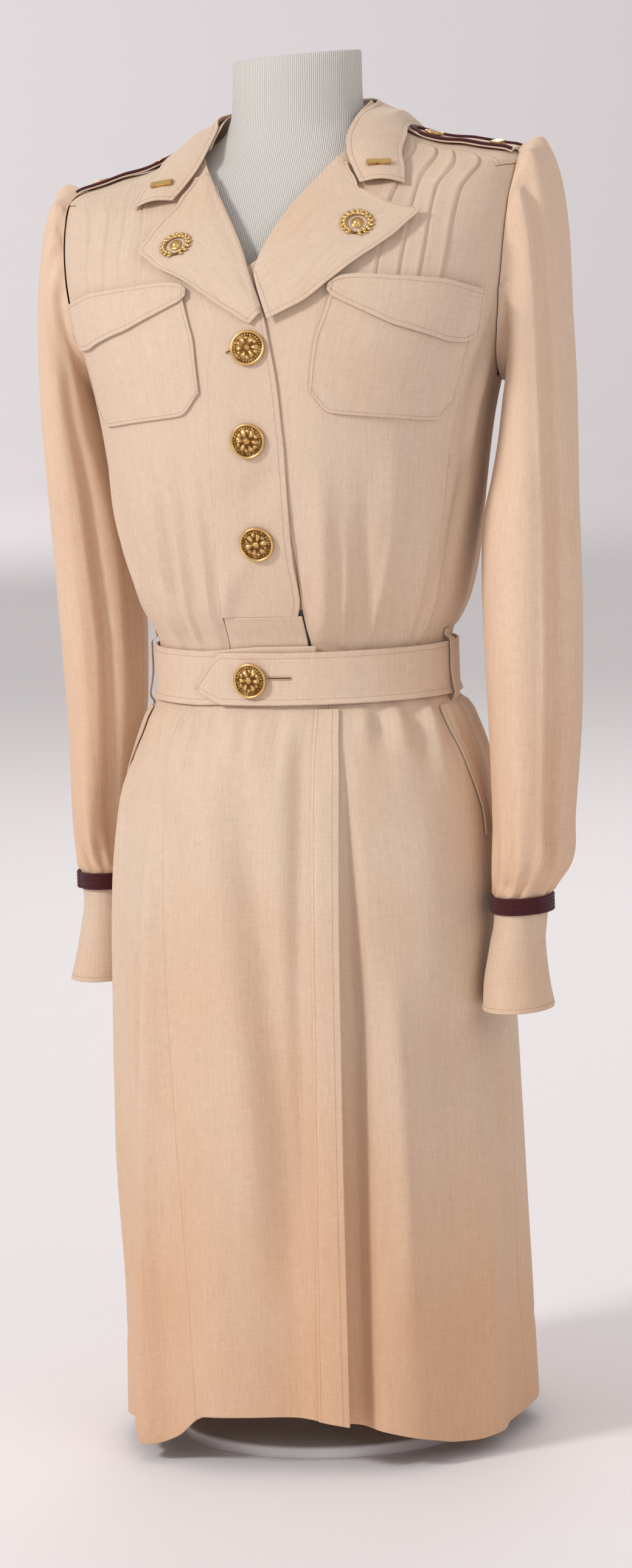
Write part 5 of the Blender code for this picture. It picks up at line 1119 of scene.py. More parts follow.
def sleeve_rings(side, table, fold, thick):
    """Rings from the armhole to the braid, with the head's gathers, the long fold and the wrist's gathers."""
    count = 24
    turn = np.arange(count) * 360 / count
    rings = []
    y, z = armhole(turn, 1.03)
    y, z = y - thick * np.sin(np.radians(turn)), z + thick * np.cos(np.radians(turn))
    rings.append(surface(side_angle(y, z), z, 0.0014))
    for index, row in enumerate(table):
        outer_x, outer_z, inner_x, inner_z, deep, middle = row
        centre_x, centre_z = (outer_x + inner_x) / 2, (outer_z + inner_z) / 2
        reach = math.hypot(outer_x - inner_x, outer_z - inner_z) / 2
        along = np.array([outer_x - centre_x, 0, outer_z - centre_z]) / reach
        cosine, sine = np.cos(np.radians(turn)), np.sin(np.radians(turn))
        head = 0.0016 * np.cos(np.radians(turn * 12)) * ramp(cosine, -0.1, 0.7) * max(0.0, 1 - index / 4.5)
        wrist = 0.0014 * np.cos(np.radians(turn * 12)) * ramp(index, 7.5, 9.5) * (index < 11)
        fold_turn = np.interp(index, [at for at, _ in fold], [value for _, value in fold])
        depth = 0.0032 * ramp(index, 0.5, 2.5) * (1 - ramp(index, 9, 11))
        crease = -depth * np.exp(-((turn - fold_turn) / 12.0) ** 2)
        size = thick + head + wrist + crease
        ring = (np.array([centre_x, middle, centre_z]) + along * ((reach + size) * cosine)[:, None]
                + np.array([0, -1, 0]) * ((deep + size) * sine)[:, None])
        rings.append(ring)
    rings = np.array(rings)
    rings[..., 0] *= side
    return rings


def on_grid(grid, stops_on_path, pieces=9):
    """A crease's path on a sleeve's coarse rings, from a few stops of turn and level."""
    stops_on_path = np.array(stops_on_path, float)
    fine = between(stops_on_path, np.linspace(0, len(stops_on_path) - 1, pieces), free=True)
    columns = grid.shape[1]
    column, row = fine[:, 0] / 360 * columns, np.clip(fine[:, 1], 0, len(grid) - 1.001)
    i, j = row.astype(int), np.floor(column).astype(int)
    down, over = (row - i)[:, None], (column - j)[:, None]
    a, b = j % columns, (j + 1) % columns
    upper = grid[i, a] * (1 - over) + grid[i, b] * over
    lower = grid[i + 1, a] * (1 - over) + grid[i + 1, b] * over
    return upper * (1 - down) + lower * down


def build_sleeve(name, side, table, fold, creases):
    """The sleeve's fine tube: its seam is under the arm."""
    outer, inner = sleeve_rings(side, table, fold, WALL), sleeve_rings(side, table, fold, 0.0)
    end = len(table) - 0.15
    paths = [(on_grid(outer, path), *rest) for path, *rest in creases]
    for turn, reach, width, height in WRIST_GATHERS:
        lean = 4 * math.sin(turn * 5.0)
        paths.append((on_grid(outer, ((turn + lean, end - reach), (turn + lean / 2, end - reach / 2), (turn, end))), width, height, 0.75, 0.03))
    outer, inner = (np.roll(grid, outer.shape[1] // 2, axis=1) for grid in (outer, inner))
    sheet(name, outer, inner, "sleeve", around=True, step=CLOTH_STEP * 0.76, extra=lambda points: fold_height(points, paths))


def wrapped(name, side, table, thick, start, overlap, gap):
    """The cuff: a strip wrapped once round and a little past its own start, each ring an oval."""
    turn = np.linspace(start, start + 360 + overlap, WRAP_COLUMNS)
    share = (turn - start) / 360 * (thick + gap)
    grids = []
    for extra in (thick, 0.0):
        rings = []
        for z, wide, deep, x, y in table:
            angle = np.radians(turn)
            ring = [x + (wide + share + extra) * np.sin(angle), y - (deep + share + extra) * np.cos(angle), np.full(WRAP_COLUMNS, z)]
            rings.append(np.stack(ring, -1) * [side, 1, 1])
        grids.append(np.array(rings))
    sheet(name, grids[0], grids[1], "cloth", groove=True)


def build_braid(name, side, cuff, low, high):
    """The ribbed band over the join of sleeve and cuff: five ribs, and a lapped end on the outer side."""
    z_top, wide, deep, x, y = cuff[0]
    columns, rows, ribs = 120, 41, 5
    turn = np.arange(columns) * 360 / columns
    lap = 0.0009 * ramp(turn, 47, 49) * (1 - ramp(turn, 95, 130))
    share = np.linspace(0, 1, rows)[:, None]
    rib = 0.00055 * np.abs(np.sin(np.pi * ribs * share)) ** 0.7
    turn = np.radians(turn)[None]
    grids = []
    for extra in (TRIM_WALL, 0.0):
        grow = 0.0049 + extra + lap[None] + rib * (extra > 0)
        z = high + (low - high) * share + 0 * turn
        grids.append(np.stack([side * (x + (wide + grow) * np.sin(turn)), y - (deep + grow) * np.cos(turn), z], -1))
    thing = shell(name, grids[0], grids[1], "braid", around=True)
    FINE_GRIDS[name] = (grids[0], grids[0] - grids[1])
    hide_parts(name)
    return thing


# Skirt

hem_height = smooth_column([row[0] for row in HEM_ROWS], [row[1] for row in HEM_ROWS])
gore_x, strip_inner, strip_free, recess_end = (column_of(SEAM_ROWS, i) for i in range(1, 5))


def fold_out(angle, z):
    """How far the skirt's folds carry it out (or in) at an angle and height."""
    angle = (np.asarray(angle, float) + 180) % 360 - 180
    total = np.zeros(np.broadcast(angle, z).shape)
    for at, spread, out, start in SKIRT_FOLDS:
        away = (angle - at + 180) % 360 - 180
        total = total + out * np.exp(-(away / spread) ** 2 * 1.4) * ramp(start - z, 0.0, start * 0.95)
    gathers = 0.0012 * np.sin(np.radians(angle * 17)) * ramp(z, 0.50, 0.570) * (1 - ramp(z, 0.575, 0.586))
    return total + gathers


def skirt_sheet(name, angles, shares, extra, thick=WALL):
    """A skirt piece: angles by row and column, share 0 at the waist and 1 at the hem."""
    wrapped_angle = (angles + 180) % 360 - 180
    top = WAIST_Z - SEAM
    heights = top + (hem_height(wrapped_angle) - top) * shares
    low = fold_out(wrapped_angle, heights) + extra
    return on_dress(name, angles, heights, low - thick, thick, folds=SKIRT_FOLDS_FINE, free_edge=hem_turn)


def skirt_rows():
    """Shares of the skirt's drop: closer together at the belt, where the form turns in."""
    below = [0.5950, 0.5830, 0.5650, 0.5400, 0.5000, 0.4300, 0.3500, 0.2600, 0.1700, 0.0900, 0.0280]
    stops = np.array([WAIST_Z - SEAM] + below)
    return ((stops[0] - stops) / (stops[0] - stops[-1]))[:, None]


def seam_angles(function, shares, shift=0.0):
    """The angle of a seam given as x by height, for each row."""
    z = WAIST_Z + (0.028 - WAIST_Z) * shares[:, 0]
    return angle_at(function(z) + shift, z)


def build_skirt():
    shares = skirt_rows()
    rows = len(shares)
    gore = seam_angles(gore_x, shares)
    inner = seam_angles(strip_inner, shares, 0.0095)
    half_gap = 0.00015
    z = WAIST_Z + (0.028 - WAIST_Z) * shares

    def spread(left, right, count):
        t = np.linspace(0, 1, count)[None]
        return left[:, None] + (right - left)[:, None] * t

    gap_angle = np.degrees(half_gap / 0.13)
    front_panel = spread(gore + gap_angle, inner - gap_angle, 13)
    skirt_sheet("skirt_front", front_panel, shares, 0.0)
    side_right = spread(np.full(rows, -90.0 + gap_angle), gore - gap_angle, 9)
    skirt_sheet("skirt_side_right", side_right, shares, 0.0)
    # The left side piece starts under the strip, sinks into the recess and comes up again at its end
    free = seam_angles(strip_free, shares)
    end = seam_angles(recess_end, shares)
    stops = [inner + gap_angle, (inner + free) / 2 + 1.0, free + 1.2, (free + end) / 2, end - 1.0, end + 1.6]
    recess = np.stack(stops, 1)
    rest = spread(end + 1.6, np.full(rows, 90.0 - gap_angle), 8)[:, 1:]
    side_left = np.concatenate([recess, rest], 1)
    depth = 0.017 * ramp(0.60 - z, 0.0, 0.30)
    sink = np.zeros_like(side_left)
    sink[:, 1:5] = -depth * np.array([[0.45, 0.9, 1.0, 0.55]])
    skirt_sheet("skirt_side_left", side_left, shares, sink)
    for name, left, right in (("skirt_back_left", 90.0, 180.0), ("skirt_back_right", 180.0, 270.0)):
        panel = spread(np.full(rows, left + gap_angle), np.full(rows, right - gap_angle), 11)
        skirt_sheet(name, panel, shares, 0.0)
    # The strip lies over the front piece's edge, and its free edge stands off a little
    below = slice(2, None)
    strip = spread(seam_angles(strip_inner, shares), free, 5)
    stand_off = WALL + LAY + 0.0004 + np.linspace(0, 1, 5)[None] * 0.0022 * ramp(0.60 - z, 0.0, 0.3)
    skirt_sheet("skirt_front_strip", strip[below], shares[below], stand_off[below], WALL)


def build_hip_welt(name, side):
    """The stitched edge of the slanted hip pocket."""
    share = np.linspace(0, 1, 7)[:, None]
    z = 0.580 + (0.478 - 0.580) * share
    edge_x = np.interp(z, [0.478, 0.49, 0.52, 0.555, 0.583], [0.1465, 0.1455, 0.1395, 0.128, 0.1145])
    first = angle_at(edge_x, z)
    wide = np.linspace(0, 1, 3)[None] * 5.0
    angles = side * (first + wide)
    low = fold_out(angles, z) + LAY + 0.0006
    return on_dress(name, angles, z + 0 * angles, low, TRIM_WALL, groove=True, folds=SKIRT_FOLDS_FINE)


# Waist inset, pockets, flaps, belt and shoulder loops

def build_inset():
    x = np.linspace(-0.0340, 0.0285, 6)[None]
    z = np.array([WAIST_Z + SEAM, 0.6215, 0.6330, 0.6450, 0.6568])[:, None]
    x, z = np.broadcast_arrays(x, z)
    on_dress("waist_inset", angle_at(x, z), z, -WALL, WALL, groove=True)


def build_pocket(name, side, shift):
    """A patch pocket with round lower corners."""
    share = np.linspace(0, 1, 9)[None]
    down = np.linspace(0, 1, 5)[:, None]
    corner = 0.016 * (np.clip(1 - share / 0.16, 0, 1) ** 2 + np.clip(1 - (1 - share) / 0.16, 0, 1) ** 2)
    top = 0.9030 - 0.0200 * share
    bottom = 0.8150 - 0.0130 * share + corner
    z = top + (bottom - top) * down
    near, far = 15.0 - 2.4 * np.clip(down * 2.2, 0, 1), 62.5 - 2.0 * down
    angles = side * (near + (far - near) * share) + shift
    low = LAY + 0.0006 + TUCK_HIGH * ramp(z, 0.884, 0.9)
    return on_dress(name, angles, z, low, TRIM_WALL, groove=True, folds=BODICE_FOLDS)


def build_flap(name, side, shift):
    """A shaped flap, deeper on the arm's side and round at its near end, over the pocket's mouth."""
    share = np.array([0.0, 0.025, 0.07, 0.14, 0.25, 0.38, 0.52, 0.66, 0.80, 0.90, 0.965, 1.0])[None]
    down = np.linspace(0, 1, 5)[:, None]
    heights = [0.9085, 0.9115, 0.9135, 0.9140, 0.9110, 0.9075, 0.8990]
    top = np.interp(share, [0, 0.025, 0.07, 0.14, 0.40, 0.66, 1], heights)
    bottom = np.interp(share, [0, 0.025, 0.07, 0.14, 0.35, 0.62, 0.85, 0.95, 1],
                       [0.9035, 0.9000, 0.8965, 0.8920, 0.8795, 0.8700, 0.8625, 0.8640, 0.8720])
    z = top + (bottom - top) * down
    angles = side * (14.0 + (63.0 - 14.0) * share) + shift + 0 * z
    low = LAY * 2 + TUCK_HIGH + TRIM_WALL + 0.0006 * down + 0 * share
    return on_dress(name, angles, z, low + 0.0003, TRIM_WALL, groove=True, folds=BODICE_FOLDS)


def build_belt_strip():
    """The belt, from its hidden end at the front round the right side, back and left side to its point."""
    middle = (BELT_LOW + BELT_HIGH) / 2
    hidden, tip = float(angle_at(0.034, middle)), float(angle_at(-0.063, middle))
    # It goes down in angle from the hidden end, through -90, -180 and -270, to the tip one turn on
    near_tip = tip - 360 + 18
    turn = np.concatenate([np.linspace(hidden, near_tip, 40), np.linspace(near_tip, tip - 360, 5)[1:]])
    travelled = (hidden - turn) / 360
    low = BELT_LIFT + travelled * (BELT_WALL + BELT_GAP)
    point = np.clip((tip - 360 + 13 - turn) / 13, 0, 1)
    bottom = BELT_LOW + 0.0145 * point ** 1.3
    top = BELT_HIGH - 0.0290 * point ** 1.2
    raised = 0.0048 * ramp(travelled, -0.01, 0.0) * (1 - ramp(travelled, 0.05, 0.14))
    rows = np.linspace(0, 1, 3)[:, None]
    z = (bottom + raised)[None] + (top - bottom)[None] * rows
    angles = np.repeat(turn[None], 3, 0)
    on_dress("belt", angles, z, np.repeat(low[None], 3, 0), BELT_WALL, groove=True, ripple=0.0002)


def build_belt_loop(name, side):
    """A narrow carrier at the side seam, over the belt."""
    rows = [
        (0.5760, 0.0012), (0.5810, 0.0014), (0.5838, 0.0070), (0.6080, 0.0072),
        (0.6315, 0.0070), (0.6345, 0.0014), (0.6390, 0.0010),
    ]
    z = np.array([row[0] for row in rows])[:, None]
    low = np.array([row[1] for row in rows])[:, None]
    angles = side * np.linspace(80.0, 84.5, 3)[None] + 0 * z
    if side < 0:
        angles = angles[:, ::-1]
    outer = surface(angles, z + 0 * angles, low + 0.0011)
    inner = surface(angles, z + 0 * angles, low + 0 * angles)
    inner[2, :, 2] += 0.0006
    inner[-3, :, 2] -= 0.0006
    sheet(name, outer, inner, "cloth", step=TRIM_STEP, free=False)


def ridge_point(x, across, side, out):
    """A point over the shoulder: x out from the neck, and a distance across its ridge."""
    heights = np.linspace(0.976, 1.0215, 160)
    ridge = half_width(heights)
    z = np.interp(x, ridge[::-1], heights[::-1])
    y = centre(z) + across - LOOP_FORWARD
    place = np.stack(np.broadcast_arrays(x, y, z + 0.004), -1).astype(float)
    # Down onto the surface
    for _ in range(40):
        place[..., 2] -= np.clip(height_above(place), -0.004, 0.004) * 0.9
    return (place + normal_at(place) * out) * [side, 1, 1]


LOOP_END, LOOP_TIP, LOOP_HALF = 0.176, 0.0900, 0.0200
LOOP_LOW, LOOP_FORWARD = 0.0018, 0.0080


def loop_half_at(x):
    """Half the shoulder loop's width: it narrows into a soft point at the neck."""
    stops = [LOOP_TIP, LOOP_TIP + 0.004, LOOP_TIP + 0.016, LOOP_END]
    return np.interp(x, stops, [0.0075, 0.0115, 0.0175, LOOP_HALF])


# Sewing and metal

def inset_run(name, side, inset, skip=(0.0, 0.0)):
    """A line on a fine grid, just inside one of its sides, with the cloth's normals; skip leaves off a length at each end."""
    grid, facing = FINE_GRIDS[name]
    if side in ("top", "bottom"):
        grid, facing = np.swapaxes(grid, 0, 1), np.swapaxes(facing, 0, 1)
    if side in ("right", "bottom"):
        grid, facing = grid[:, ::-1], facing[:, ::-1]
    gaps = np.linalg.norm(np.diff(grid, axis=1), axis=-1)
    run = np.concatenate([np.zeros((len(grid), 1)), np.cumsum(gaps, 1)], 1)
    index = np.array([np.searchsorted(row, inset) for row in run]).clip(1, grid.shape[1] - 1)
    line = np.arange(len(grid))
    before, after = run[line, index - 1], run[line, index]
    share = ((inset - before) / np.maximum(after - before, 1e-9)).clip(0, 1)[:, None]
    points = grid[line, index - 1] * (1 - share) + grid[line, index] * share
    normals = facing[line, index]
    along = np.concatenate([[0], np.cumsum(np.linalg.norm(np.diff(points, axis=0), axis=1))])
    keep = (along >= skip[0]) & (along <= along[-1] - skip[1])
    return points[keep], normals[keep]


def loose_mesh(name, points, faces, material, relief=None):
    """A mesh of faces of any number of sides, riding on the frame; relief is kept for the metal's tone."""
    points, volume = leaned(points), 0.0
    for size in {len(face) for face in faces}:
        group = np.array([face for face in faces if len(face) == size])
        for i in range(1, size - 1):
            volume += (np.cross(points[group[:, i]], points[group[:, i + 1]]) * points[group[:, 0]]).sum()
    if volume < 0:
        faces = [face[::-1] for face in faces]
    mesh = bpy.data.meshes.new(name + "_fine")
    mesh.from_pydata([tuple(point) for point in points], [], [tuple(int(i) for i in face) for face in faces])
    mesh.materials.append(MATERIALS[material])
    mesh.shade_smooth()
    if relief is not None:
        mesh.attributes.new("relief", "FLOAT", "POINT").data.foreach_set("value", np.asarray(relief, np.float32))
    thing = bpy.data.objects.new(name + "_fine", mesh)
    LOOKS.objects.link(thing)
    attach(thing, BODY)
    return thing


def stitches(name, runs, material="thread", pitch=STITCH_PITCH, long=STITCH_LONG, radius=STITCH_R):
    """Rows of short thread stitches, each a small spindle half sunk in the cloth."""
    shape = np.array([(-0.5, 0.35), (-0.25, 1.0), (0.25, 1.0), (0.5, 0.35)])
    ring = np.radians([45, 135, 225, 315])
    points, faces = [], []
    for line, normals in runs:
        steps = np.linalg.norm(np.diff(line, axis=0), axis=1)
        along = np.concatenate([[0], np.cumsum(steps)])
        for at in np.arange(pitch / 2, along[-1], pitch):
            centre_point = np.array([np.interp(at, along, line[:, k]) for k in range(3)])
            ahead = np.array([np.interp(at + 0.0004, along, line[:, k]) for k in range(3)])
            behind = np.array([np.interp(at - 0.0004, along, line[:, k]) for k in range(3)])
            forward = (ahead - behind) / max(np.linalg.norm(ahead - behind), 1e-9)
            up = np.array([np.interp(at, along, normals[:, k]) for k in range(3)])
            up = up - forward * (up @ forward)
            up /= np.linalg.norm(up)
            side = np.cross(forward, up)
            start = len(points)
            for place, size in shape:
                for angle in ring:
                    spoke = side * math.cos(angle) * radius * size + up * (math.sin(angle) * radius * size + radius * 0.45)
                    points.append(centre_point + forward * place * long + spoke)
            for i in range(3):
                for j in range(4):
                    k = (j + 1) % 4
                    faces.append((start + i * 4 + j, start + i * 4 + k, start + i * 4 + 4 + k, start + i * 4 + 4 + j))
            faces.append((start + 3, start + 2, start + 1, start))
            faces.append((start + 12, start + 13, start + 14, start + 15))
    return loose_mesh(name, np.array(points), faces, material)


def cord_mesh(line, radius, sides=8, rib=0.0, closed=False):
    """Points and faces of a cord along a line of points; rib swells every second ring a little."""
    along = np.roll(line, -1, axis=0) - np.roll(line, 1, axis=0) if closed else np.gradient(line, axis=0)
    along /= np.linalg.norm(along, axis=-1, keepdims=True)
    side = np.cross(along, normal_at(line))
    side /= np.linalg.norm(side, axis=-1, keepdims=True)
    up = np.cross(side, along)
    turn = np.radians(np.arange(sides) * 360 / sides)
    size = radius * (1 + rib * np.cos(np.arange(len(line)) * np.pi))[:, None, None]
    rings = line[:, None] + size * (side[:, None] * np.cos(turn)[None, :, None] + up[:, None] * np.sin(turn)[None, :, None])
    count, faces = len(line), []
    for i in range(count if closed else count - 1):
        following = (i + 1) % count
        for j in range(sides):
            k = (j + 1) % sides
            faces.append((i * sides + j, i * sides + k, following * sides + k, following * sides + j))
    if not closed:
        faces.append(tuple(range(sides))[::-1])
        faces.append(tuple((count - 1) * sides + j for j in range(sides)))
    return rings.reshape(-1, 3), faces


def even_line(line, step):
    """The same line with points at even steps."""
    along = np.concatenate([[0], np.cumsum(np.linalg.norm(np.diff(line, axis=0), axis=1))])
    places = np.linspace(0, along[-1], max(2, int(along[-1] / step) + 1))
    return np.stack([np.interp(places, along, line[:, k]) for k in range(line.shape[1])], -1)


def build_shoulder_loop(side, word):
    """The shoulder loop, and its double maroon cord near the edge."""
    x = np.linspace(LOOP_TIP, LOOP_END, 14)[:, None]
    across_x = np.linspace(-1, 1, 9)[None] * loop_half_at(x)
    sheet(f"shoulder_loop_{word}", ridge_point(x + 0 * across_x, across_x, side, LOOP_LOW + TRIM_WALL),
          ridge_point(x + 0 * across_x, across_x, side, LOOP_LOW), "cloth", groove=True)
    inset, radius = 0.0016, 0.00115
    xs = np.linspace(LOOP_END - 0.001, LOOP_TIP + 0.012, 30)
    front_run = [(x, -(loop_half_at(x) - inset)) for x in xs]
    back_run = [(x, loop_half_at(x) - inset) for x in xs[::-1]]
    bend = np.radians(np.linspace(-80, 80, 15))
    tip_run = [(LOOP_TIP + 0.0118 - 0.0084 * math.cos(a), 0.0108 * math.sin(a)) for a in bend]
    path = even_line(np.array(front_run + tip_run + back_run), 0.0008)
    heading = np.gradient(path, axis=0)
    heading /= np.linalg.norm(heading, axis=1, keepdims=True)
    points, faces = [], []
    for offset in (-0.00100, 0.00100):
        flat = path + np.stack([heading[:, 1], -heading[:, 0]], -1) * offset
        line = ridge_point(flat[:, 0], flat[:, 1], side, LOOP_LOW + TRIM_WALL + radius * 0.8)
        more, more_faces = cord_mesh(line, radius, rib=0.09)
        faces.extend(tuple(len(points) + i for i in face) for face in more_faces)
        points.extend(more)
    thing = loose_mesh(f"loop_piping_{word}", np.array(points), faces, "braid")
    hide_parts(f"loop_piping_{word}")


def frame_at(facing, roll=0.0):
    """Right and up on a surface with this facing, turned by an angle in degrees."""
    facing = np.array(facing, float) / np.linalg.norm(facing)
    right = np.cross(facing, [0, 0, 1.0]) * -1
    right /= np.linalg.norm(right)
    up = np.cross(right, facing) * -1
    up = up if up[2] > 0 else -up
    turn = math.radians(roll)
    return right * math.cos(turn) + up * math.sin(turn), up * math.cos(turn) - right * math.sin(turn), facing


def build_button(name, place, facing, radius, roll=0.0):
    """A gilt shank button: rolled rim, ring of beads and a twelve-petal rosette on a low dome."""
    rings, sides = 34, 108
    share = np.concatenate([np.linspace(0.02, 0.97, rings - 4), [1.0, 0.995, 0.97, 0.85]])
    turn = np.radians(np.arange(sides) * 360 / sides)
    r, a = np.meshgrid(share, turn, indexing="ij")
    rim = 0.085 * np.sqrt(np.clip(1 - ((r - 0.925) / 0.075) ** 2, 0, 1))
    dome = 0.10 * (1 - (r / 0.84) ** 2).clip(0, 1)
    bead = 0.050 * np.clip(np.cos(a * 30), 0, 1) ** 0.7 * np.exp(-((r - 0.755) / 0.045) ** 2)
    petal = np.clip(np.cos(a * 6), 0, 1) ** 0.6 * np.exp(-((r - 0.46) / 0.17) ** 2)
    leaf = np.clip(-np.cos(a * 6), 0, 1) ** 1.2 * np.exp(-((r - 0.56) / 0.09) ** 2)
    vein = 1 - 0.45 * np.exp(-(np.abs(np.sin(a * 3)) / 0.10) ** 2)
    centre_boss = 0.075 * np.exp(-(r / 0.15) ** 4) * (1 + 0.25 * np.cos(a * 8))
    detail = bead + 0.075 * petal * vein + 0.050 * leaf + centre_boss
    height = 0.16 + rim + dome + detail
    height[-4:] = np.array([0.16, 0.10, 0.03, 0.0])[:, None]
    relief = np.clip((rim + detail) / 0.075, 0, 1)
    relief[-4:] = 0.5
    right, up, facing = frame_at(facing, roll)
    points = place + radius * (right * (r * np.cos(a))[..., None] + up * (r * np.sin(a))[..., None] + facing * height[..., None])
    points = points.reshape(-1, 3)
    faces = [tuple(face) for face in grid_faces(len(share), sides, True)]
    faces.append(tuple(range(sides))[::-1])
    faces.append(tuple((len(share) - 1) * sides + j for j in range(sides)))
    thing = loose_mesh(name, points, faces, "gilt", relief.ravel())
    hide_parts(name)
    return thing


def build_buttonhole(name, start, end, out):
    """A worked buttonhole: a raised rim of thread round a dark sheet of painted shade in its slit. Start and end are x
    and height.
    """
    start, end = np.array(start, float), np.array(end, float)
    along = (end - start) / np.linalg.norm(end - start)
    side = np.array([-along[1], along[0]])
    bend = np.radians(np.linspace(-90, 90, 9))
    half, grow = 0.00085, 0.0001
    right_end = [end + along * half * math.cos(t) + side * half * math.sin(t) for t in bend]
    left_end = [start - along * half * math.cos(t) - side * half * math.sin(t) for t in bend]
    loop = np.array(right_end + left_end)
    fine = between(np.concatenate([loop, loop[:1]]), np.linspace(0, len(loop), 64)[:-1])
    line = front_point(fine[:, 0], fine[:, 1], out + 0.0002)
    rim, rim_faces = cord_mesh(line, 0.00052, rib=0.16, closed=True)
    loose_mesh(name, rim, rim_faces, "thread")
    # The slit is a thin dark box: painted shade where the opening shows only shade
    corners = np.array([start + side * half, end + side * half, end - side * half, start - side * half])
    low, high = (front_point(corners[:, 0], corners[:, 1], out + lift) for lift in (-0.0003, grow))
    faces = [(3, 2, 1, 0), (4, 5, 6, 7), (0, 1, 5, 4), (1, 2, 6, 5), (2, 3, 7, 6), (3, 0, 4, 7)]
    loose_mesh(name + "_slit", np.concatenate([low, high]), faces, "hole")


def leaf_mesh(long, wide, high, rows=9, columns=8):
    """A small closed leaf along x with a ridge, as points and faces."""
    points = []
    for i in range(rows):
        t = 0.02 + 0.96 * i / (rows - 1)
        half = wide / 2 * math.sin(math.pi * t ** 0.8)
        for j in range(columns):
            a = 2 * math.pi * j / columns
            top = max(math.sin(a), -0.25)
            points.append((long * t, half * math.cos(a), high * math.sin(math.pi * t) * top * (1.25 if j == columns // 4 else 1.0)))
    faces = [tuple(face) for face in grid_faces(rows, columns, True)]
    faces += [tuple(range(columns))[::-1], tuple((rows - 1) * columns + j for j in range(columns))]
    return np.array(points), faces


def build_brooch(name, place, facing, roll):
    """A generic gilt brooch: an open oval wreath of leaves round a small domed stud, tied below."""
    right, up, facing = frame_at(facing, roll)
    points, faces, relief = [], [], []

    def add(local, local_faces, tone):
        start = len(points)
        points.extend(place + right * p[0] + up * p[1] + facing * p[2] for p in local)
        faces.extend(tuple(start + i for i in face) for face in local_faces)
        relief.extend([tone] * len(local))

    leaf, leaf_faces = leaf_mesh(0.0056, 0.0030, 0.0011)
    for way in (-1, 1):
        for i in range(8):
            around_angle = math.radians(-76 + 21.5 * i)
            for lean, lift, size in ((34, 0.0006, 1.0), (-26, 0.0003, 0.85)):
                x, y = way * 0.0108 * math.cos(around_angle), 0.0092 * math.sin(around_angle)
                heading = math.atan2(math.cos(around_angle) * 0.0092, -way * math.sin(around_angle) * 0.0108) + math.radians(lean * way)
                turned_leaf = leaf * size
                local = np.stack([x + turned_leaf[:, 0] * math.cos(heading) - turned_leaf[:, 1] * math.sin(heading),
                                  y + turned_leaf[:, 0] * math.sin(heading) + turned_leaf[:, 1] * math.cos(heading),
                                  turned_leaf[:, 2] + lift + 0.0008], -1)
                add(local, leaf_faces, 0.75)
    turn = np.radians(np.arange(40) * 9.0)
    band = [(0.0118, 0.0100, 0.0003), (0.0118, 0.0100, 0.0010), (0.0100, 0.0084, 0.0012), (0.0098, 0.0082, 0.0003)]
    ring = np.array([[(w * math.cos(t), h * math.sin(t), z) for t in turn] for w, h, z in band + band[:1]])
    add(ring.reshape(-1, 3), [tuple(face) for face in grid_faces(5, 40, True)], 0.1)
    profile = [(0.0046, 0.0002), (0.0048, 0.0008), (0.0040, 0.0013), (0.0036, 0.0010), (0.0034, 0.0016), (0.0022, 0.0026), (0.0008, 0.0031)]
    stud = np.array([[(w * math.cos(t), w * math.sin(t), z) for t in turn] for w, z in profile])
    stud_faces = [tuple(face) for face in grid_faces(len(profile), 40, True)] + [tuple(range(40))[::-1], tuple(240 + j for j in range(40))]
    add(stud.reshape(-1, 3), stud_faces, 0.85)
    thing = loose_mesh(name, np.array(points), faces, "gilt", relief)
    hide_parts(name)
    return thing


def build_bar(name, place, facing, along, size):
    """A gilt bar with rounded edges and a shallow step round its face."""
    facing = np.array(facing, float) / np.linalg.norm(facing)
    along = np.array(along, float) - facing * np.dot(along, facing)
    along /= np.linalg.norm(along)
    side = np.cross(facing, along)
    length, width, height = size
    levels = [(1.0, 0.0), (1.0, 0.55), (0.97, 0.80), (0.90, 0.82), (0.88, 0.98), (0.84, 1.0)]
    corners = [(-1, -1), (1, -1), (1, 1), (-1, 1)]
    points, faces, relief = [], [], []
    for level_index, (keep, lift) in enumerate(levels):
        trim = (1 - keep) * width / 2
        for a, b in corners:
            for bend in (-0.8, 0.8):
                shift = 0.12 * width * (1 - abs(bend))
                flip = bend * a * b
                x = a * (length / 2 - trim - (0.10 * width if flip > 0 else 0))
                y = b * (width / 2 - trim - (0.10 * width if flip < 0 else 0))
                points.append(place + along * (x - shift) + side * y + facing * lift * height)
                relief.append((0.45, 0.5, 0.8, 0.25, 0.8, 0.95)[level_index])
    count = 8
    order = []
    for level_index in range(len(levels)):
        ring = [points[level_index * count + i] for i in range(count)]
        angles = [math.atan2((p - place) @ side, (p - place) @ along) for p in ring]
        order.append([level_index * count + i for i in np.argsort(angles)])
    for lower, upper in zip(order, order[1:]):
        for i in range(count):
            n = (i + 1) % count
            faces.append((lower[i], lower[n], upper[n], upper[i]))
    faces.append(tuple(order[0][::-1]))
    faces.append(tuple(order[-1]))
    thing = loose_mesh(name, np.array(points), faces, "gilt", relief)
    thing.data.set_sharp_from_angle(angle=math.radians(40))
    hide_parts(name)
    return thing


# Dress form

def closed_rings(name, rings, material, stands_in=True):
    """A closed body through rings of points, both ends closed flat; it can stand for the node of its name."""
    rows, columns = rings.shape[:2]
    lid = [(0, 2 * i + 1, 2 * i + 2, 2 * i + 3) for i in range(columns // 2 - 1)]
    lid = np.array(lid)
    faces = np.concatenate([grid_faces(rows, columns, True), lid[:, ::-1], lid + (rows - 1) * columns])
    thing = mesh_object(name, rings.reshape(-1, 3), faces, material, cloth_uv(rings, True).reshape(-1, 2))
    if stands_in:
        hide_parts(name)
    return thing


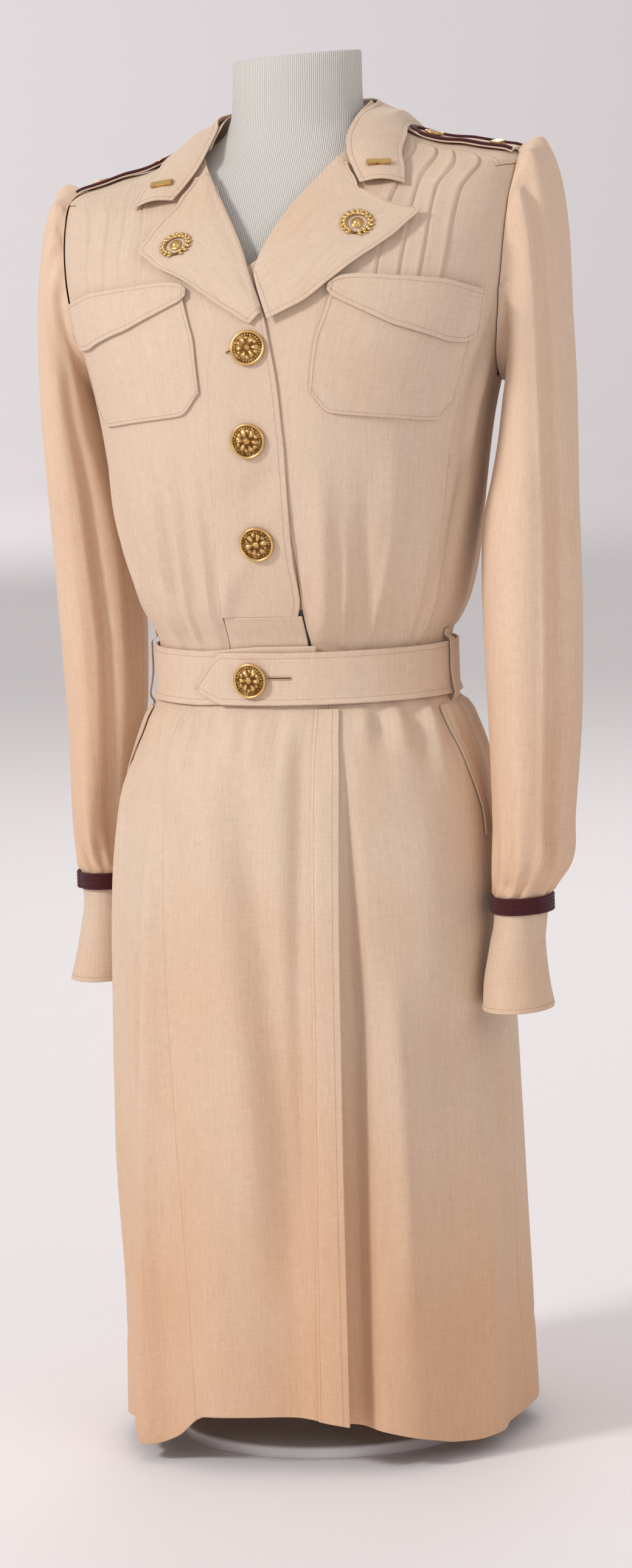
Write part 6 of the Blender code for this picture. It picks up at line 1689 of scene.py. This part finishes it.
def build_roll(name, side, table):
    """The soft turn of a lapel over its front's edge, along the roll line."""
    table = np.array(table)
    fine = between(table[:, :2], np.linspace(0, len(table) - 1.9, 60), free=True)
    x, z = fine[:, 0] + side * 0.0014, fine[:, 1]
    turn = np.radians(np.arange(14) * 360 / 14)
    half, middle = 0.0019, 0.0004
    rings = []
    for i in range(len(x)):
        fade = 1 - 0.5 * ramp(i, 50, 59) - 0.5 * (1 - ramp(i, 0, 5))
        ring_x = np.full(14, x[i]) + half * fade * np.cos(turn)
        rings.append(front_point(ring_x, np.full(14, z[i]), middle + half * fade * np.sin(turn)))
    return closed_rings(name, np.array(rings), "cloth", stands_in=False)


def round_rings(profile, sides=64):
    """Rings about the upright axis from rows of radius and height."""
    turn = np.radians(np.arange(sides) * 360 / sides)
    return np.array([[(r * math.sin(t), -r * math.cos(t), z) for t in turn] for r, z in profile])


def build_form():
    """The padded torso with its neck, the pole and the round base. The torso's seam in the knit is at the back."""
    sides = 96
    turn = 180 + np.arange(sides) * 360 / sides
    rings = []
    for z, clear in TORSO_CLEAR:
        front_share = np.sqrt(np.abs(np.cos(np.radians(turn)))) * ramp(z, 0.86, 0.93)
        rings.append(surface(turn, np.full(sides, z), -clear - 0.0075 * front_share))
    angle = np.radians(turn)
    for z, wide, deep, middle in NECK_ROWS:
        rings.append(np.stack([wide * np.sin(angle), middle - deep * np.cos(angle), np.full(sides, z)], -1))
    body = between(np.array(rings), np.linspace(0, len(rings) - 1, 110))
    lowest = body[0].copy()
    lowest[:, :2] *= 0.80
    lowest[:, 2] = lowest[:, 2].mean() - 0.018
    bottom = between(np.array([lowest * [0.5, 0.5, 1], lowest, (lowest + body[0]) / 2 + (body[0] - lowest) * [0.18, 0.18, -0.12], body[0]]),
                     np.linspace(0, 3, 14), free=True)[:-1]
    top_row = body[-1]
    middle = top_row.mean(0)
    lid = [middle + (top_row - middle) * keep + [0, 0, drop] for keep, drop in ((0.985, 0.0012), (0.96, 0.0018), (0.90, 0.0020), (0.5, 0.0020))]
    closed_rings("form_torso", np.concatenate([bottom, body, np.array(lid)]), "knit")
    pole_top = float(lowest[:, 2].min()) - SEAM
    closed_rings("form_pole", round_rings([(0.0125, 0.0105), (0.0125, pole_top - 0.0005), (0.0120, pole_top)]), "stand")
    base = [(0.1190, 0.0), (0.1200, 0.0006), (0.1200, 0.0072), (0.1193, 0.0086), (0.1175, 0.0093), (0.1150, 0.0095), (0.0300, 0.0095),
            (0.0200, 0.0095)]
    closed_rings("form_base", round_rings(base, 128), "stand")


# The whole dress

def build_buttons():
    for name, x, z, roll in (("button_top", 0.002, 0.864, 4.0), ("button_middle", 0.000, 0.794, -7.0), ("button_low", 0.001, 0.715, 12.0)):
        place = front_point(x, z)
        facing = normal_at(place)
        build_button(name, place + facing * LAY, facing, BUTTON_R, roll)
    place = front_point(-0.015, 0.6075)
    facing = normal_at(place)
    over = BELT_LIFT + 1.07 * (BELT_WALL + BELT_GAP) + BELT_WALL + 0.0015
    build_button("button_belt", place + facing * over, facing, BUTTON_R, -3.0)
    for side, word in ((1, "left"), (-1, "right")):
        place = ridge_point(np.array([LOOP_TIP + 0.019]), np.array([0.0]), side, LOOP_LOW + TRIM_WALL + LAY)[0]
        build_button(f"button_loop_{word}", place, normal_at(place), 0.0078, 20.0 * side)


def build_pins(collar_top, collar_normal):
    """Plain bars on the shoulder loops and the collar, and a small oval brooch on each lapel."""
    for side, word in ((1, "left"), (-1, "right")):
        place = ridge_point(np.array([LOOP_END - 0.016]), np.array([-0.002]), side, LOOP_LOW + TRIM_WALL + LAY)[0]
        build_bar(f"shoulder_bar_{word}", place, normal_at(place), (0, 1, 0), (0.024, 0.0075, 0.0022))
    for word, x, z, lift, roll in (("left", 0.078, 0.9480, 0.0050, -14.0), ("right", -0.0625, 0.9420, 0.0050, 12.0)):
        place = front_point(x, z)
        facing = normal_at(place)
        build_brooch(f"lapel_brooch_{word}", place + facing * lift, facing, roll)
    for column, word in ((1, "right"), (-2, "left")):
        place, facing = collar_top[2:4, column].mean(0), collar_normal[2:4, column].mean(0)
        along = collar_top[4, column] - collar_top[1, column]
        build_bar(f"collar_bar_{word}", place + facing * 0.0006, facing, along, (0.019, 0.0055, 0.0018))


build_form()
build_front("bodice_front_left", 1, LAPEL_LEFT)
build_front("bodice_front_right", -1, LAPEL_RIGHT)
build_back()
for SIDE, WORD in ((1, "left"), (-1, "right")):
    build_yoke(f"shoulder_yoke_{WORD}", SIDE)
    build_shoulder_loop(SIDE, WORD)
    build_hip_welt(f"hip_pocket_edge_{WORD}", SIDE)
    build_belt_loop(f"belt_loop_{WORD}", SIDE)
build_lapel("lapel_left", 1, LAPEL_LEFT)
build_lapel("lapel_right", -1, LAPEL_RIGHT)
COLLAR_TOP, COLLAR_NORMAL = build_collar()
build_collar_stand()
build_sleeve("sleeve_left", 1, SLEEVE_LEFT, SLEEVE_FOLD_LEFT, SLEEVE_CREASES_LEFT)
build_sleeve("sleeve_right", -1, SLEEVE_RIGHT, SLEEVE_FOLD_RIGHT, SLEEVE_CREASES_RIGHT)
wrapped("cuff_left", 1, CUFF_LEFT, WALL, 100.0, 16.0, 0.0006)
wrapped("cuff_right", -1, CUFF_RIGHT, WALL, 100.0, 16.0, 0.0006)
build_braid("braid_left", 1, CUFF_LEFT, 0.4215, 0.4345)
build_braid("braid_right", -1, CUFF_RIGHT, 0.4310, 0.4440)
build_skirt()
build_inset()
for SIDE, WORD in ((1, "left"), (-1, "right")):
    build_pocket(f"pocket_{WORD}", SIDE, 1.8)
    build_flap(f"pocket_flap_{WORD}", SIDE, 1.8)
build_belt_strip()
BELT_TOP = BELT_LIFT + 1.07 * (BELT_WALL + BELT_GAP) + BELT_WALL
build_buttonhole("buttonhole_top", (-0.0147, 0.8611), (-0.0076, 0.8636), 0.0)
build_buttonhole("buttonhole_belt", (-0.0007, 0.6093), (0.0147, 0.6091), BELT_TOP)
build_buttons()
build_roll("lapel_left_roll", 1, LAPEL_LEFT)
build_roll("lapel_right_roll", -1, LAPEL_RIGHT)
build_pins(COLLAR_TOP, COLLAR_NORMAL)

# Rows of topstitching: piece, side of its grid and how far inside the edge
STITCH_ROWS = {
    "stitches_collar": [("collar", "top", 0.0038), ("collar", "bottom", 0.0038), ("collar", "left", 0.0038), ("collar", "right", 0.0038),
                        ("lapel_left", "right", 0.0038), ("lapel_left", "top", 0.0038), ("lapel_left", "bottom", 0.0038),
                        ("lapel_right", "right", 0.0038), ("lapel_right", "top", 0.0038), ("lapel_right", "bottom", 0.0038)],
    "stitches_pockets": [(f"pocket_{word}", side, 0.0024) for word in ("left", "right") for side in ("left", "right", "bottom")],
    "stitches_flaps": [(f"pocket_flap_{word}", side, 0.0034) for word in ("left", "right") for side in ("left", "right", "bottom", "top")],
    "stitches_belt": [("belt", "top", 0.0040), ("belt", "bottom", 0.0040), ("belt", "right", 0.0040)],
    "stitches_cuffs": [(f"cuff_{word}", side, 0.0036) for word in ("left", "right") for side in ("bottom", "right")],
    "stitches_shoulder": [(f"shoulder_yoke_{word}", side, 0.0025) for word in ("left", "right") for side in ("left", "right")]
                         + [(f"shoulder_loop_{word}", side, 0.0018) for word in ("left", "right") for side in ("left", "right")],
    "stitches_front": [("waist_inset", "top", 0.0028), ("bodice_front_right", "left", 0.0045)],
    "stitches_hips": [(f"hip_pocket_edge_{word}", side, 0.0022) for word in ("left", "right") for side in ("left", "right")],
    "stitches_skirt": [("skirt_front_strip", "left", 0.0024), ("skirt_front_strip", "right", 0.0050)],
}
for NAME, ROWS in STITCH_ROWS.items():
    stitches(NAME, [inset_run(*row) for row in ROWS])

# Studio

def soft_light(name, place, aim, size, watts, colour):
    data = bpy.data.lights.new(name, "AREA")
    data.shape, data.size, data.energy, data.color = "DISK", size, watts, colour
    light = bpy.data.objects.new(name, data)
    bpy.context.scene.collection.objects.link(light)
    light.location = place
    light.rotation_euler = (Vector(aim) - Vector(place)).to_track_quat("-Z", "Y").to_euler()


def build_studio():
    """A pale floor that curves up into a round backdrop, and soft light from the front and above."""
    profile = [(0.0, 0.0), (3.5, 0.0), (7.0, 0.0), (11.3, 0.0), (12.2, 0.12), (13.0, 0.5), (13.6, 1.2), (13.9, 2.2), (14.0, 3.6), (14.0, 6.5)]
    fine = between(np.array(profile), np.linspace(0, len(profile) - 1, 60))
    sides = 96
    turn = np.radians(np.arange(sides) * 360 / sides)
    points = [(r * math.sin(t), -r * math.cos(t), z) for r, z in fine for t in turn]
    mesh = bpy.data.meshes.new("studio_floor")
    mesh.from_pydata(points, [], [tuple(int(i) for i in face[::-1]) for face in grid_faces(len(fine), sides, True)])
    mesh.shade_smooth()
    paper = bpy.data.materials.new("studio_paper")
    paper.use_nodes = True
    paper.node_tree.nodes["Principled BSDF"].inputs["Base Color"].default_value = (0.86, 0.83, 0.84, 1.0)
    paper.node_tree.nodes["Principled BSDF"].inputs["Roughness"].default_value = 0.95
    mesh.materials.append(paper)
    floor = bpy.data.objects.new("studio_floor", mesh)
    bpy.context.scene.collection.objects.link(floor)
    world = bpy.data.worlds.new("studio")
    world.use_nodes = True
    world.node_tree.nodes["Background"].inputs["Color"].default_value = (1.0, 0.975, 0.975, 1.0)
    world.node_tree.nodes["Background"].inputs["Strength"].default_value = 0.60
    bpy.context.scene.world = world
    soft_light("key", (-2.8, -3.3, 3.2), (0.0, 0.0, 0.6), 0.9, 126.0, (1.0, 0.975, 0.945))
    soft_light("fill", (3.2, -3.2, 1.8), (0.0, 0.0, 0.6), 2.4, 28.0, (1.0, 0.96, 0.94))
    soft_light("back", (-0.8, 3.6, 3.2), (0.0, 0.0, 0.7), 2.4, 42.0, (1.0, 0.98, 0.98))
    soft_light("wash", (-4.2, 8.0, 3.0), (-6.9, 13.4, 0.8), 2.0, 70.0, (1.0, 0.98, 0.98))


def build_camera():
    """The photograph's view: 16 degrees round to the wearer's left, from 4.2 m, looking 7 degrees down and rolled 2 degrees."""
    around, pitch, roll = math.radians(16), math.radians(7), math.radians(2)
    right = Vector((math.cos(around), math.sin(around), 0))
    ahead = Vector((-math.sin(around) * math.cos(pitch), math.cos(around) * math.cos(pitch), -math.sin(pitch)))
    up = right.cross(ahead)
    place = Vector((math.sin(around) * 4.2, -math.cos(around) * 4.2, 1.03)) + right * 0.004
    rolled_right = right * math.cos(roll) - up * math.sin(roll)
    rolled_up = up * math.cos(roll) + right * math.sin(roll)
    data = bpy.data.cameras.new("camera")
    data.sensor_fit, data.sensor_width, data.lens = "AUTO", 36.0, 123.26
    data.clip_end = 60.0
    camera = bpy.data.objects.new("camera", data)
    axes = Matrix((rolled_right, rolled_up, -ahead)).transposed().to_4x4()
    axes.translation = place
    camera.matrix_world = axes
    bpy.context.scene.collection.objects.link(camera)
    bpy.context.scene.camera = camera


build_studio()
build_camera()
bpy.context.scene.view_settings.view_transform = "Standard"
